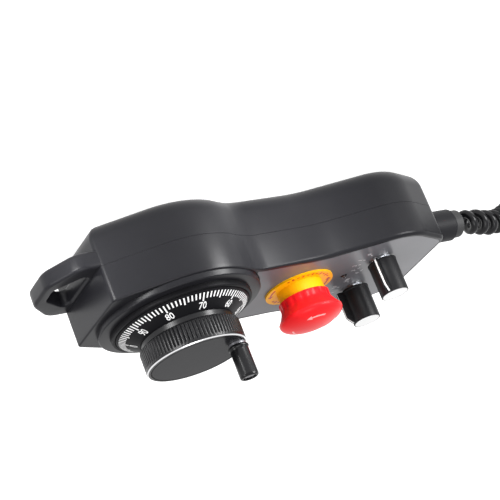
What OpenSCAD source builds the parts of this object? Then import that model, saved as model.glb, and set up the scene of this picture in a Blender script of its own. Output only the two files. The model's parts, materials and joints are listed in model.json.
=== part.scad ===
/* [Housing outline] */
// Radius of the round head about the dial's axis
head_radius = 50.3; // [49.5:0.1:54]
// Distance from the dial's axis to the flat head end
head_reach = 53.2; // [52:0.1:56]
// Angle by which the head's shoulders draw in toward the head end
shoulder_angle = 26; // [20:1:30]
// Slope with which the head's round side falls into the waist
neck_angle = 29; // [27:1:32]
// Half of the width across the waist
waist_half = 36.5; // [35.5:0.1:37.5]
// Distance from the dial's axis to the place where the flanks widen again
waist_end = 83; // [80:0.5:84]
// Distance from the dial's axis to the place where the flanks reach the full width
bulge_start = 129.6506; // [124:0.0001:132]
// Half of the greatest width, across the grip end
bulge_half = 49; // [48.4:0.1:49.6]
// Distance from the dial's axis to the place where the grip end narrows
bulge_end = 143.8; // [143:0.1:146]
// Angle by which the grip end narrows
tail_angle = 28.6; // [24:0.1:30]
// Distance from the dial's axis to the flat tail end
tail_reach = 172.6; // [168:0.2:176]

/* [Housing corners] */
// Corner radius at the head end
head_corner_r = 3.5; // [2:0.5:8]
// Hollow radius between head and waist
neck_r = 25; // [16:1:26]
// Hollow radius between waist and flank
flank_r = 60; // [20:5:70]
// Radius where the flank meets the grip end's side
bulge_front_r = 36; // [20:2:36]
// Radius where the grip end's side meets the tail
bulge_back_r = 36; // [20:2:36]
// Corner radius at the tail end
tail_corner_r = 10; // [6:1:14]

/* [Housing section] */
// Height of the housing, from its back to its front face
body_height = 47.7; // [46:0.1:50]
// Height of the parting plane between the two shells
parting_height = 26; // [25:0.5:28]
// Wall thickness of both shells
wall = 3; // [2.5:0.1:3.4]
// Rounding of the back edge at the head and waist
back_edge_head = 10.5; // [6:0.5:10.5]
// Rounding of the back edge at the grip end
back_edge_tail = 12; // [8:0.5:12]
// Rounding of the front edge at the head
front_edge_head = 1; // [0.6:0.1:1]
// Rounding of the front edge at the waist and grip end
front_edge_tail = 2.4; // [1:0.1:2.6]
// Thickness of the sealing strip between the shells
seal_thickness = 0.6; // [0.4:0.1:1]
// How far the sealing strip lies back from the outer wall
seal_setback = 0.5; // [0.2:0.1:0.8]

/* [Front panel] */
// Thickness of the inlaid panel plate
panel_thickness = 1.2; // [0.8:0.1:1.5]
// Gap between the panel plate and the boss under the dial
panel_boss_gap = 0.6; // [0.3:0.1:1.2]

/* [Hang loop] */
// How far the loop reaches beyond the head end
loop_reach = 26.4; // [24:0.1:34]
// Half of the loop's width at its root
loop_half = 30.3; // [28:0.1:31]
// Thickness of the loop
loop_thickness = 10.2; // [7:0.2:15]
// Length of the hole in the loop
loop_hole_length = 17.3; // [14:0.1:18]
// Half of the hole's width at its root
loop_hole_half = 17.5; // [14:0.5:19]
// Rounding of the loop's edges
loop_edge = 2; // [1:0.1:2.5]

/* [Dial and encoder] */
// How far the boss that carries the dial lies inside the head's round edge
boss_margin = 1.3; // [1.3:0.1:4]
// Height of the boss above the front face
boss_height = 3.6; // [2:0.1:5]
// Outer radius of the encoder's bezel ring
bezel_radius = 42.5; // [41.5:0.1:44]
// Height of the bezel ring above the boss
bezel_height = 3.2; // [2.4:0.1:4]
// Width of the bezel ring's wall
bezel_wall = 1.9; // [1.5:0.1:2.2]
// Thickness of the encoder flange's floor
flange_floor = 1.6; // [1.2:0.1:2]
// Outer radius of the encoder body
encoder_radius = 30; // [28:0.2:31]
// Depth of the encoder body below the boss
encoder_depth = 30; // [28:0.5:32]
// Radius of the encoder shaft
shaft_radius = 4; // [3:0.1:4]
// Outer radius of the ball bearings
bearing_radius = 9.5; // [8:0.1:11]
// Width of each ball bearing
bearing_width = 6; // [4:0.5:6]
// Radius of the code disc
disc_radius = 22; // [16:0.5:24]
// Radius of the circle that the encoder's screws stand on
encoder_screw_circle = 36; // [35.5:0.1:36.5]

/* [Handwheel] */
// Radius of the graduated dial's foot
dial_radius = 40.1; // [39:0.1:40.3]
// Radius of the upper edge of the graduated cone
cone_top_radius = 28.2; // [27:0.1:31]
// Height of the graduated cone
cone_height = 6.8; // [4:0.2:9]
// Upright edge under the graduated cone
dial_edge = 1.7; // [1:0.1:2.5]
// Thickness of the graduated cone
cone_thickness = 2.2; // [1.6:0.1:2.6]
// Radius of the handwheel
wheel_radius = 30; // [29:0.2:34]
// Radius of the smooth neck under the handwheel
wheel_neck_radius = 27.6; // [26:0.1:28]
// Height of the smooth neck above the dial
wheel_neck_height = 3.2; // [2:0.1:6]
// Height of the fluted grip on the rim
flute_height = 11; // [6:0.5:16]
// Number of flutes round the rim
flute_count = 84; // [48:4:96]
// Depth of the flutes
flute_depth = 0.7; // [0.4:0.1:1]
// Height of the smooth band above the flutes
wheel_band = 1.5; // [0.8:0.1:3]
// Bright chamfer at the wheel's upper edge
wheel_chamfer = 1; // [0.6:0.1:1.6]
// Thickness of the face plate
face_thickness = 1.2; // [0.8:0.1:2]

/* [Crank] */
// Distance of the crank from the wheel's axis
crank_circle = 23.8; // [16:0.1:24]
// Direction in which the crank stands at rest
crank_angle = -149.5; // [-180:0.5:180]
// Length of the crank's grip
crank_length = 19.5; // [14:0.5:28]
// Greatest radius of the grip, at its foot
crank_foot_radius = 6.2; // [6:0.1:6.3]
// Radius of the grip at its tip
crank_tip_radius = 5.6; // [5.2:0.1:6]
// Radius of the pin that the grip turns on
crank_pin_radius = 2.5; // [2:0.1:2.6]
// Radius of the pin's head
crank_head_radius = 3.6; // [3.2:0.1:3.7]
// Thickness of the washer under the grip
crank_washer_thickness = 1.3; // [0.8:0.1:2]

/* [Emergency stop] */
// Distance from the dial's axis to the stop button
estop_reach = 82; // [80:0.5:83]
// Radius of the mushroom head
mushroom_radius = 19.8; // [18:0.1:20.5]
// Height of the mushroom head's top above the panel
mushroom_height = 26.9; // [24:0.1:28]
// Height of the head's widest line above the panel
mushroom_brim = 20.2; // [18:0.1:20.6]
// Outer radius of the skirt below the head
skirt_radius = 15.6; // [15:0.1:16.4]
// Height of the skirt's lower edge above the panel
skirt_foot = 8; // [6.5:0.1:9]
// Travel of the button
estop_travel = 4; // [3:0.5:5]
// Radius of the yellow collar
collar_radius = 14.2; // [13:0.1:14.3]
// Radius of the threaded barrel through the panel
barrel_radius = 11; // [10:0.1:11.5]
// Radius of the legend ring
legend_radius = 21.3; // [18:0.1:23]
// Thickness of the legend ring
legend_thickness = 1.2; // [0.8:0.1:1.8]
// Radius of the plunger
plunger_radius = 4; // [3:0.1:6]

/* [Rotary switches] */
// Distance from the tail end to the axes of the selector knobs
knob_setback = 41.1; // [40.6:0.1:42.6]
// Distance of each knob from the middle line
knob_offset = 18.6; // [17.6:0.1:19]
// Radius of a knob at its foot
knob_radius = 9; // [8.6:0.1:9.2]
// Radius of a knob at its tip
knob_tip_radius = 8.6; // [8:0.1:8.8]
// Height of a knob
knob_height = 21.8; // [18:0.2:24]
// Gap between a knob and the panel
knob_gap = 1.8; // [1:0.1:2.4]
// How far the pointer ridge stands out of a knob
pointer_reach = 3; // [2:0.1:4]
// Width of the pointer ridge
pointer_width = 3.4; // [2.6:0.1:5]
// Direction in which the axis knob points at rest
axis_pointer_angle = -38; // [-180:1:180]
// Direction in which the range knob points at rest
range_pointer_angle = 12; // [-180:1:180]
// Radius of a switch's threaded bush
bush_radius = 4.7; // [4:0.1:4.9]
// Radius of a switch's shaft
switch_shaft_radius = 3; // [2.5:0.1:3]
// Radius of a switch's wafer case
switch_radius = 13; // [11:0.5:14]
// Depth of a switch's wafer case
switch_depth = 18; // [12:0.5:20]

/* [Power lamp] */
// Distance from the dial's axis to the power lamp
lamp_reach = 113; // [112:0.5:113.5]
// Distance of the lamp from the middle line, toward the side of the axis selector
lamp_offset = 3; // [0:0.5:3.5]
// Radius of the lamp's lens
lamp_radius = 1.3; // [1.2:0.1:2.5]

/* [Cable gland] */
// Radius of the gland's dome nut
gland_radius = 10.1; // [9.6:0.1:11]
// Radius of the gland's thread in the tail wall
gland_thread_radius = 8; // [7:0.1:8.5]
// Length of the gland's flange
gland_flange_length = 6; // [4:0.5:8]
// Length of the dome nut
gland_nut_length = 27; // [20:1:30]
// Length of the rubber sleeve at the gland's mouth
gland_sleeve_length = 6.4; // [4:0.2:8]

/* [Curly cord] */
// Outer radius of the curled stretch
curl_radius = 8.5; // [7.5:0.1:9]
// Radius of the cable itself
cable_radius = 3; // [2.5:0.1:3.2]
// Radius of the plug
plug_radius = 9; // [8:0.1:10]
// Length of the plug's rear shell
plug_length = 24; // [20:1:26]
// Length of the plug's coupling ring
ring_length = 12; // [10:0.5:14]

/* [Hidden] */
$fn = 64;

// Clearances
running_clearance = 0.05;
moving_gap = 0.4;
seat_gap = 0.15;
hole_clearance = 0.3;

// Levels above the back of the housing
panel_top = body_height;
shell_under = body_height - wall;
boss_radius = head_radius - boss_margin;
knob_reach = tail_reach - knob_setback;
boss_top = body_height + boss_height;
bezel_floor = boss_top + flange_floor;
bezel_top = boss_top + bezel_height;
dial_foot = bezel_floor + moving_gap;
dial_rim = dial_foot + dial_edge;
cone_top = dial_rim + cone_height;
neck_top = cone_top + wheel_neck_height;
step_height = 0.8;
flute_foot = neck_top + step_height;
flute_top = flute_foot + flute_height;
band_top = flute_top + wheel_band;
face_top = band_top + wheel_chamfer;
face_seat = face_top - face_thickness;

// ---------- Plane geometry ----------

function unit(v) = v / norm(v);
function left_of(v) = [-v[1], v[0]];
function turned(v, a) = [v[0] * cos(a) - v[1] * sin(a), v[0] * sin(a) + v[1] * cos(a)];
function mix(a, b, t) = a + (b - a) * t;
function clamp01(t) = max(0, min(1, t));
function smooth_step(t) = let (s = clamp01(t)) s * s * (3 - 2 * s);
function flat(lists) = [for (l = lists) each l];
function mirrored(corners) = [for (i = [len(corners) - 1:-1:0])
    [corners[i][0], -corners[i][1], corners[i][2]]];

// The arc that rounds the corner at v between the edges from a and to b
function corner_arc(a, v, b, r, steps) =
    let (u = unit(v - a), w = unit(b - v))
    let (turn = atan2(u[0] * w[1] - u[1] * w[0], u * w), side = sign(turn))
    let (start = v - u * r * tan(abs(turn) / 2), centre = start + left_of(u) * side * r)
    [for (k = [0:steps]) centre + turned(start - centre, turn * k / steps)];

// A closed outline of rounded corners [x, y, radius], drawn in by inset all the way round. Where limited,
// a corner's radius gives way when its two straights are too short for it
function rounded_outline(corners, inset = 0, degrees_per_step = 8, limited = false) =
    let (n = len(corners))
    let (p = [for (c = corners) [c[0], c[1]]])
    let (u = [for (i = [0:n - 1]) unit(p[(i + 1) % n] - p[i])])
    let (q = [for (i = [0:n - 1])
        let (m = left_of(u[(i + n - 1) % n]), k = left_of(u[i]))
        p[i] + (m + k) * inset / (1 + m * k)])
    let (turn = [for (i = [0:n - 1])
        let (b = u[(i + n - 1) % n], a = u[i]) atan2(b[0] * a[1] - b[1] * a[0], b * a)])
    let (r = [for (i = [0:n - 1]) turn[i] > 0 ? max(corners[i][2] - inset, 0.4) : corners[i][2] + inset])
    let (reach = [for (i = [0:n - 1]) r[i] * tan(abs(turn[i]) / 2)])
    let (room = [for (i = [0:n - 1]) norm(q[(i + 1) % n] - q[i]) / (reach[i] + reach[(i + 1) % n])])
    flat([for (i = [0:n - 1])
        corner_arc(q[(i + n - 1) % n], q[i], q[(i + 1) % n],
            r[i] * (limited ? min(1, room[i] * 0.999, room[(i + n - 1) % n] * 0.999) : 1),
            max(2, ceil(abs(turn[i]) / degrees_per_step)))]);

// A solid skinned over rings of equal length, closed by its first and last ring
module skin(rings) {
    n = len(rings[0]);
    last = (len(rings) - 1) * n;
    sides = [for (k = [0:len(rings) - 2], i = [0:n - 1])
        let (j = (i + 1) % n, lo = k * n, up = (k + 1) * n)
        each [[lo + i, up + i, up + j], [lo + i, up + j, lo + j]]];
    polyhedron(flat(rings), concat([[for (i = [0:n - 1]) i]], sides,
        [[for (i = [n - 1:-1:0]) last + i]]), convexity = 8);
}

// A closed band skinned over rings of equal length, its last ring joined to its first
module loop_skin(rings) {
    n = len(rings[0]);
    m = len(rings);
    polyhedron(flat(rings), [for (k = [0:m - 1], i = [0:n - 1])
        let (j = (i + 1) % n, lo = k * n, up = ((k + 1) % m) * n)
        each [[lo + i, up + i, up + j], [lo + i, up + j, lo + j]]], convexity = 8);
}

function at_height(points, z) = [for (p = points) [p[0], p[1], z]];

// A tube swept along a route, as rings of points square to it
function route_rings(route, radius, sides) = [for (i = [0:len(route) - 1])
    let (d = unit(route[min(i + 1, len(route) - 1)] - route[max(i - 1, 0)]))
    let (s = unit(cross([0, 0, 1], d)), t = cross(d, s))
    [for (k = [0:sides - 1]) route[i] + radius * (cos(360 * (k + 0.5) / sides) * s
        + sin(360 * (k + 0.5) / sides) * t)]];

// ---------- Housing outline ----------

shoulder_normal = 90 - shoulder_angle;
neck_normal = 90 + neck_angle;
shoulder_half = (head_radius - head_reach * cos(shoulder_normal)) / sin(shoulder_normal);
head_apex = head_radius / cos((neck_normal - shoulder_normal) / 2);
head_apex_angle = (neck_normal + shoulder_normal) / 2;
neck_x = (head_radius - waist_half * sin(neck_normal)) / cos(neck_normal);
tail_half = bulge_half - (tail_reach - bulge_end) * tan(tail_angle);
half_corners = [
    [head_reach, shoulder_half, head_corner_r],
    [head_apex * cos(head_apex_angle), head_apex * sin(head_apex_angle), head_radius],
    [neck_x, waist_half, neck_r],
    [-waist_end, waist_half, flank_r],
    [-bulge_start, bulge_half, bulge_front_r],
    [-bulge_end, bulge_half, bulge_back_r],
    [-tail_reach, tail_half, tail_corner_r]];
body_corners = concat(half_corners, mirrored(half_corners));

function body_outline(inset) = rounded_outline(body_corners, inset, limited = true);

// Share of the grip end's own edge rounding at a place along the body
function tail_share(x) = smooth_step((-x - neck_radius_end) / edge_change_length);
neck_radius_end = 30;
edge_change_length = 60;

// One ring round the body whose inset and height change from head to tail
function body_ring(head, tail) =
    let (a = body_outline(head[0]), b = body_outline(tail[0]))
    [for (i = [0:len(a) - 1])
        let (t = tail_share(a[i][0]), p = mix(a[i], b[i], t))
        [p[0], p[1], mix(head[1], tail[1], t)]];

function straight_ring(inset, z) = at_height(body_outline(inset), z);

// Inset and height on a rounded edge of radius r, at angle a from its start
function back_edge(r, a, floor_z, inset) = [inset + r * (1 - cos(a)), floor_z + r * (1 - sin(a))];
function front_edge(r, a) = [r * (1 - cos(a)), body_height - r * (1 - sin(a))];

// ---------- Screw places ----------

screw_radius = 1.6;
screw_head_radius = 2.8;
screw_head_height = 2.4;
screw_boss_radius = 4;
screw_pocket = 7;
head_screw_circle = encoder_radius + screw_boss_radius + 0.9;
head_screw_angle = 30;
shell_screw_places = [
    for (s = [1, -1]) each [
        head_screw_circle * [cos(head_screw_angle), s * sin(head_screw_angle)],
        [-encoder_radius - 28, s * (waist_half - back_edge_tail - 4.5)],
        [-tail_reach + back_edge_tail + 7, s * (tail_half - 12)]]];

// ---------- Shells ----------

module front_shell() color("#2b2b2d") difference() {
    union() {
        loop_skin(concat(
            [straight_ring(wall, body_height), straight_ring(wall, parting_height + seal_thickness / 2)],
            [straight_ring(0, parting_height + seal_thickness / 2)],
            [for (a = [0:22.5:90]) body_ring(front_edge(front_edge_head, a),
                front_edge(front_edge_tail, a))]));
        translate([0, 0, shell_under]) linear_extrude(wall - panel_thickness)
            polygon(body_outline(wall - deck_lap));
        translate([0, 0, shell_under]) linear_extrude(wall - deck_lap) intersection() {
            polygon(body_outline(wall - deck_lap));
            head_area(0);
        }
        boss();
        for (p = shell_screw_places) translate([p[0], p[1], parting_height + seal_thickness / 2])
            cylinder(r = screw_boss_radius, h = shell_under - parting_height);
    }
    translate([0, 0, shell_under - 1])
        cylinder(r = encoder_radius + hole_clearance, h = wall + boss_height + 2);
    encoder_screw_holes(screw_radius + hole_clearance);
    translate([-estop_reach, 0, shell_under - 1]) cylinder(r = barrel_radius + hole_clearance, h = wall + 2);
    for (s = [1, -1]) translate([-knob_reach, s * knob_offset, shell_under - 1])
        cylinder(r = bush_radius + hole_clearance, h = wall + 2);
    translate([-lamp_reach, -lamp_offset, shell_under - 1])
        cylinder(r = lamp_body_radius + hole_clearance, h = wall + 2);
    for (p = shell_screw_places) translate([p[0], p[1], parting_height - 1])
        cylinder(r = screw_radius - 0.3, h = 14);
    gland_hole();
}

// How far the deck plate runs into the wall round it
deck_lap = 0.2;
// Where the inlaid panel plate begins, just outside the boss
panel_start = 37.5;

// Everything on the head's side of the place where the panel plate begins
module head_area(gap) translate([-panel_start - gap, -head_radius])
    square([panel_start + gap + head_reach, 2 * head_radius]);

module boss() rotate_extrude($fn = 96) difference() {
    translate([encoder_radius - 2, body_height - wall / 2])
        square([boss_radius - encoder_radius + 2, boss_height + wall / 2]);
    translate([boss_radius - 0.8, boss_top - 0.8]) difference() {
        square(1);
        circle(r = 0.8);
    }
}

module back_shell() color("#2b2b2d") difference() {
    union() {
        skin(concat(
            [for (a = [90:-15:0]) body_ring(back_edge(back_edge_head, a, 0, 0),
                back_edge(back_edge_tail, a, 0, 0))],
            [straight_ring(0, parting_height - seal_thickness / 2)],
            [straight_ring(wall, parting_height - seal_thickness / 2)],
            [for (a = [0:30:90]) body_ring(back_edge(back_edge_head - wall, a, wall, wall),
                back_edge(back_edge_tail - wall, a, wall, wall))]));
        for (p = shell_screw_places) translate([p[0], p[1], wall / 2])
            cylinder(r = screw_boss_radius + 0.5, h = parting_height - seal_thickness / 2 - wall / 2);
    }
    for (p = shell_screw_places) translate([p[0], p[1], -1]) {
        cylinder(r = screw_radius + hole_clearance, h = parting_height + 2);
        cylinder(r = screw_head_radius + hole_clearance, h = screw_pocket + 1);
    }
    gland_hole();
}

module gland_hole() translate([-tail_reach - 1, 0, parting_height]) rotate([0, 90, 0])
    cylinder(r = gland_thread_radius + seat_gap, h = wall + 2);

module shell_seal() color("#161616") difference() {
    translate([0, 0, parting_height - seal_thickness / 2]) linear_extrude(seal_thickness) difference() {
        polygon(body_outline(seal_setback));
        polygon(body_outline(wall));
    }
    gland_hole();
}

module shell_screws() color("#9a9a9e") for (p = shell_screw_places) translate([p[0], p[1], screw_pocket]) {
    translate([0, 0, -screw_head_height]) difference() {
        cylinder(r = screw_head_radius, h = screw_head_height);
        translate([0, 0, -1]) for (a = [0, 90]) rotate(a) translate([-2, -0.4, 0]) cube([4, 0.8, 2.2]);
    }
    cylinder(r = screw_radius - 0.35, h = parting_height + 8 - screw_pocket);
}

// ---------- Panel ----------

module panel_area() difference() {
    polygon(body_outline(wall + seat_gap));
    circle(r = boss_radius + panel_boss_gap, $fn = 128);
    head_area(seat_gap);
}

module panel_plate() color("#8e8f92") difference() {
    translate([0, 0, body_height - panel_thickness]) linear_extrude(panel_thickness) panel_area();
    translate([-estop_reach, 0, shell_under]) cylinder(r = barrel_radius + hole_clearance, h = wall + 1);
    for (s = [1, -1]) translate([-knob_reach, s * knob_offset, shell_under])
        cylinder(r = bush_radius + hole_clearance, h = wall + 1);
    translate([-lamp_reach, -lamp_offset, shell_under])
        cylinder(r = lamp_body_radius + hole_clearance, h = wall + 1);
}

// ---------- Hang loop ----------

loop_top = parting_height + 0.2;
loop_tip = head_reach + loop_reach;
loop_half_corners = [
    [loop_tip, loop_half * 0.41, 14],
    [head_reach + loop_reach * 0.46, loop_half, 12],
    [head_reach - 8, loop_half, 1]];
loop_corners = concat(loop_half_corners, mirrored(loop_half_corners));
loop_root = head_reach + 2.3;
loop_hole_corners_half = [
    [loop_root + loop_hole_length, loop_hole_half * 0.34, 4],
    [loop_root + loop_hole_length * 0.26, loop_hole_half * 0.96, 4],
    [loop_root, loop_hole_half, 3]];
loop_hole_corners = concat(loop_hole_corners_half, mirrored(loop_hole_corners_half));

function loop_ring(corners, inset, z) = at_height(rounded_outline(corners, inset, 12), z);

module hang_loop() color("#2b2b2d") difference() {
    skin(concat(
        [for (a = [0:30:90]) loop_ring(loop_corners, loop_edge * (1 - sin(a)),
            loop_top - loop_thickness + loop_edge * (1 - cos(a)))],
        [for (a = [0:30:90]) loop_ring(loop_corners, loop_edge * (1 - cos(a)),
            loop_top - loop_edge * (1 - sin(a)))]));
    skin(concat(
        [loop_ring(loop_hole_corners, -loop_edge, loop_top - loop_thickness - 0.5)],
        [for (a = [0:30:90]) loop_ring(loop_hole_corners, -loop_edge * (1 - sin(a)),
            loop_top - loop_thickness + loop_edge * (1 - cos(a)))],
        [for (a = [0:30:90]) loop_ring(loop_hole_corners, -loop_edge * (1 - cos(a)),
            loop_top - loop_edge * (1 - sin(a)))],
        [loop_ring(loop_hole_corners, -loop_edge, loop_top + 0.5)]));
    linear_extrude(body_height) polygon(body_outline(0));
}

// ---------- Encoder ----------

encoder_rear = boss_top - encoder_depth;
can_wall = 1.5;
can_top = encoder_rear + 13;
hub_radius = bearing_radius + 3;
rear_bearing_foot = can_top + 2;
front_bearing_foot = bezel_floor - bearing_width - 1;
disc_foot = encoder_rear + can_wall + 7.5;
board_foot = encoder_rear + can_wall + 2.5;
board_thickness = 1.6;

module encoder_screw_holes(r) for (a = [60:120:300]) rotate(a)
    translate([encoder_screw_circle, 0, shell_under - 1])
        cylinder(r = r, h = wall + boss_height + flange_floor + 2);

module encoder_flange() color("#202022") difference() {
    rotate_extrude($fn = 96) union() {
        difference() {
            translate([bezel_radius - bezel_wall, boss_top]) square([bezel_wall, bezel_height]);
            translate([bezel_radius - 0.7, bezel_top - 0.7]) difference() {
                square(1);
                circle(r = 0.7);
            }
        }
        translate([bearing_radius, boss_top]) square([bezel_radius - bearing_radius - 0.5, flange_floor]);
        translate([encoder_radius - 2.5, can_top]) square([2.5, boss_top - can_top]);
        translate([bearing_radius, rear_bearing_foot]) square([3, boss_top - rear_bearing_foot]);
        translate([shaft_radius + 1.5, rear_bearing_foot + bearing_width])
            square([bearing_radius - shaft_radius, front_bearing_foot - rear_bearing_foot - bearing_width]);
    }
    for (a = [60:120:300]) rotate(a) translate([encoder_screw_circle, 0, 0]) {
        translate([0, 0, boss_top - 1]) cylinder(r = 1.5 + hole_clearance, h = flange_floor + 2);
        translate([0, 0, bezel_floor - 1]) cylinder(r1 = 1.5, r2 = 3.2, h = 1.2);
    }
}

module encoder_can() color("#3a3a3c") difference() {
    translate([0, 0, encoder_rear]) cylinder(r = encoder_radius, h = can_top - encoder_rear, $fn = 96);
    translate([0, 0, encoder_rear + can_wall])
        cylinder(r = encoder_radius - can_wall, h = can_top, $fn = 96);
}

module encoder_screws() color("#b0b0b4") for (a = [60:120:300]) rotate(a)
    translate([encoder_screw_circle, 0, 0]) {
        translate([0, 0, shell_under - 4]) cylinder(r = 1.5, h = bezel_floor - shell_under + 3);
        translate([0, 0, bezel_floor - 1]) cylinder(r1 = 1.4, r2 = 2.6, h = 0.9);
        translate([0, 0, shell_under - 2.6]) cylinder(r = 3.2, h = 2.4, $fn = 6);
    }

module encoder_bearings() color("#c8c8cc") for (z = [rear_bearing_foot, front_bearing_foot])
    translate([0, 0, z]) difference() {
        cylinder(r = bearing_radius - 0.02, h = bearing_width);
        translate([0, 0, -1]) cylinder(r = shaft_radius + running_clearance, h = bearing_width + 2);
    }

module encoder_shaft() color("#c8c8cc") {
    translate([0, 0, disc_foot - 3]) cylinder(r = shaft_radius, h = face_seat - 7 - disc_foot + 3);
    translate([0, 0, face_seat - 7]) cylinder(r = shaft_radius - 1, h = 5.5);
}

module code_disc() color("#b9c3c9") difference() {
    union() {
        translate([0, 0, disc_foot]) cylinder(r = disc_radius, h = 0.8, $fn = 96);
        translate([0, 0, disc_foot + 0.8]) cylinder(r = shaft_radius + 3, h = 4);
    }
    translate([0, 0, disc_foot - 1]) cylinder(r = shaft_radius + 0.02, h = 8);
}

module encoder_board() color("#1f5a34") union() {
    translate([0, 0, board_foot]) cylinder(r = encoder_radius - can_wall - 0.5, h = board_thickness,
        $fn = 96);
    translate([disc_radius - 7, -4, board_foot + board_thickness])
        cube([6, 8, disc_foot - board_foot - board_thickness - 0.5]);
    for (a = [90:120:330]) rotate(a) translate([encoder_radius - 5, 0, encoder_rear + can_wall])
        cylinder(r = 2, h = board_foot - encoder_rear - can_wall);
}

module encoder_terminals() color("#2f6b45") difference() {
    translate([-18, -5, encoder_rear - 8]) cube([36, 10, 8]);
    for (i = [0:5]) translate([-15 + 6 * i, 0, encoder_rear - 9]) cylinder(r = 1.6, h = 3);
}

// ---------- Dial and handwheel ----------

module graduated_dial() color("#1a1a1c") rotate_extrude($fn = 128) polygon([
    [dial_radius - cone_thickness, dial_foot], [dial_radius, dial_foot], [dial_radius, dial_rim - 0.3],
    [dial_radius - 0.3, dial_rim], [cone_top_radius, cone_top], [cone_top_radius - 5, cone_top],
    [cone_top_radius - 5, cone_top - cone_thickness],
    [cone_top_radius - 1, cone_top - cone_thickness]]);

module fluted_disc() polygon([for (i = [0:flute_count - 1]) each [
    for (k = [[0, wheel_radius - flute_depth], [0.25, wheel_radius - 0.1],
        [0.5, wheel_radius], [0.75, wheel_radius - 0.1]])
        let (a = 360 * (i + k[0]) / flute_count) k[1] * [cos(a), sin(a)]]]);

module handwheel() color("#18181a") difference() {
    union() {
        translate([0, 0, flute_foot]) linear_extrude(flute_height) difference() {
            fluted_disc();
            circle(r = wheel_radius - 4);
        }
        rotate_extrude($fn = 128) polygon([
            [shaft_radius + 0.02, dial_foot + 1], [hub_outer, dial_foot + 1],
            [hub_outer, face_seat - 9], [wheel_neck_radius - 3.5, face_seat - 9],
            [wheel_neck_radius - 3.5, cone_top + 0.02], [wheel_neck_radius, cone_top + 0.02],
            [wheel_neck_radius, neck_top], [wheel_radius - flute_depth - 0.4, flute_foot],
            [wheel_radius - flute_depth - 0.4, flute_top], [wheel_radius, flute_top],
            [wheel_radius, band_top], [wheel_radius - wheel_chamfer, face_top],
            [face_radius + seat_gap + 0.25, face_top], [face_radius + seat_gap + 0.25, face_seat],
            [shaft_radius + 6, face_seat], [shaft_radius + 6, face_seat - 7],
            [shaft_radius + 0.02, face_seat - 7]]);
    }
    rotate(crank_angle) translate([crank_circle, 0, face_seat - 12])
        cylinder(r = crank_pin_radius + 0.02, h = 20);
}
hub_outer = 12;
face_radius = wheel_radius - wheel_chamfer - 1.6;

module hub_nut() color("#b0b0b4") translate([0, 0, face_seat - 7]) difference() {
    cylinder(r = 6, h = 4.5, $fn = 6);
    translate([0, 0, -1]) cylinder(r = shaft_radius - 1 + 0.02, h = 7);
}

module wheel_face_plate() color("#0c0c0d") difference() {
    translate([0, 0, face_seat]) rotate_extrude($fn = 128) polygon([
        [0, 0], [face_radius, 0], [face_radius, face_thickness - 0.3],
        [face_radius - 0.3, face_thickness], [0, face_thickness]]);
    rotate(crank_angle) translate([crank_circle, 0, face_seat - 1])
        cylinder(r = crank_pin_radius + 0.02, h = 4);
}

// ---------- Crank ----------

grip_foot = face_top + crank_washer_thickness + moving_gap;
grip_tip = grip_foot + crank_length;
head_pocket = 3.2;

module at_crank() rotate(crank_angle) translate([crank_circle, 0, 0]) children();

module crank_washer() color("#3a3a3c") at_crank() translate([0, 0, face_top]) difference() {
    cylinder(r = crank_foot_radius - 1.2, h = crank_washer_thickness);
    translate([0, 0, -1]) cylinder(r = crank_pin_radius + 0.02, h = crank_washer_thickness + 2);
}

module crank_pin() color("#c8c8cc") at_crank() {
    translate([0, 0, face_seat - 9.5]) cylinder(r = crank_pin_radius, h = grip_tip - head_pocket + 0.3
        - face_seat + 9.5);
    translate([0, 0, grip_tip - head_pocket + 0.3]) difference() {
        cylinder(r = crank_head_radius, h = 1.9);
        translate([-3, -0.4, 1.1]) cube([6, 0.8, 1]);
    }
}

module crank_grip() color("#161618") at_crank() difference() {
    rotate_extrude($fn = 64) polygon(concat(
        [[crank_pin_radius + running_clearance, grip_foot], [crank_foot_radius - 0.8, grip_foot]],
        [for (a = [-60:30:60]) [crank_foot_radius - 0.9 + 0.9 * cos(a), grip_foot + 1 + sin(a)]],
        [[crank_foot_radius - 0.7, grip_foot + 2.6], [crank_tip_radius, grip_tip - 1.4],
            [crank_tip_radius - 0.2, grip_tip - 0.5], [crank_tip_radius - 0.8, grip_tip],
            [crank_head_radius + 0.4, grip_tip],
            [crank_head_radius + 0.4, grip_tip - head_pocket],
            [crank_pin_radius + running_clearance, grip_tip - head_pocket]]));
}

// ---------- Emergency stop ----------

collar_foot = panel_top + legend_thickness;
collar_top = panel_top + skirt_foot + 1.4;
skirt_low = panel_top + skirt_foot;
skirt_ceiling = collar_top + estop_travel + 0.6;
barrel_foot = shell_under - 14;
block_height = 20;
block_length = 28;
block_width = 38;

module at_estop() translate([-estop_reach, 0, 0]) children();

module estop_legend_ring() color("#f2b21a") at_estop() translate([0, 0, panel_top]) difference() {
    cylinder(r = legend_radius, h = legend_thickness, $fn = 96);
    translate([0, 0, -1]) cylinder(r = barrel_radius + hole_clearance, h = legend_thickness + 2);
}

module estop_collar() color("#f2b21a") at_estop() difference() {
    union() {
        translate([0, 0, collar_foot]) cylinder(r = collar_radius, h = collar_top - collar_foot);
        translate([0, 0, barrel_foot]) cylinder(r = barrel_radius, h = collar_foot - barrel_foot);
    }
    translate([0, 0, barrel_foot - 1])
        cylinder(r = plunger_radius + running_clearance, h = collar_top - barrel_foot + 2);
}

module estop_lock_nut() color("#55585c") at_estop() translate([0, 0, shell_under - 4]) difference() {
    cylinder(r = barrel_radius + 3.5, h = 4, $fn = 6);
    translate([0, 0, -1]) cylinder(r = barrel_radius + 0.02, h = 6);
}

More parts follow.
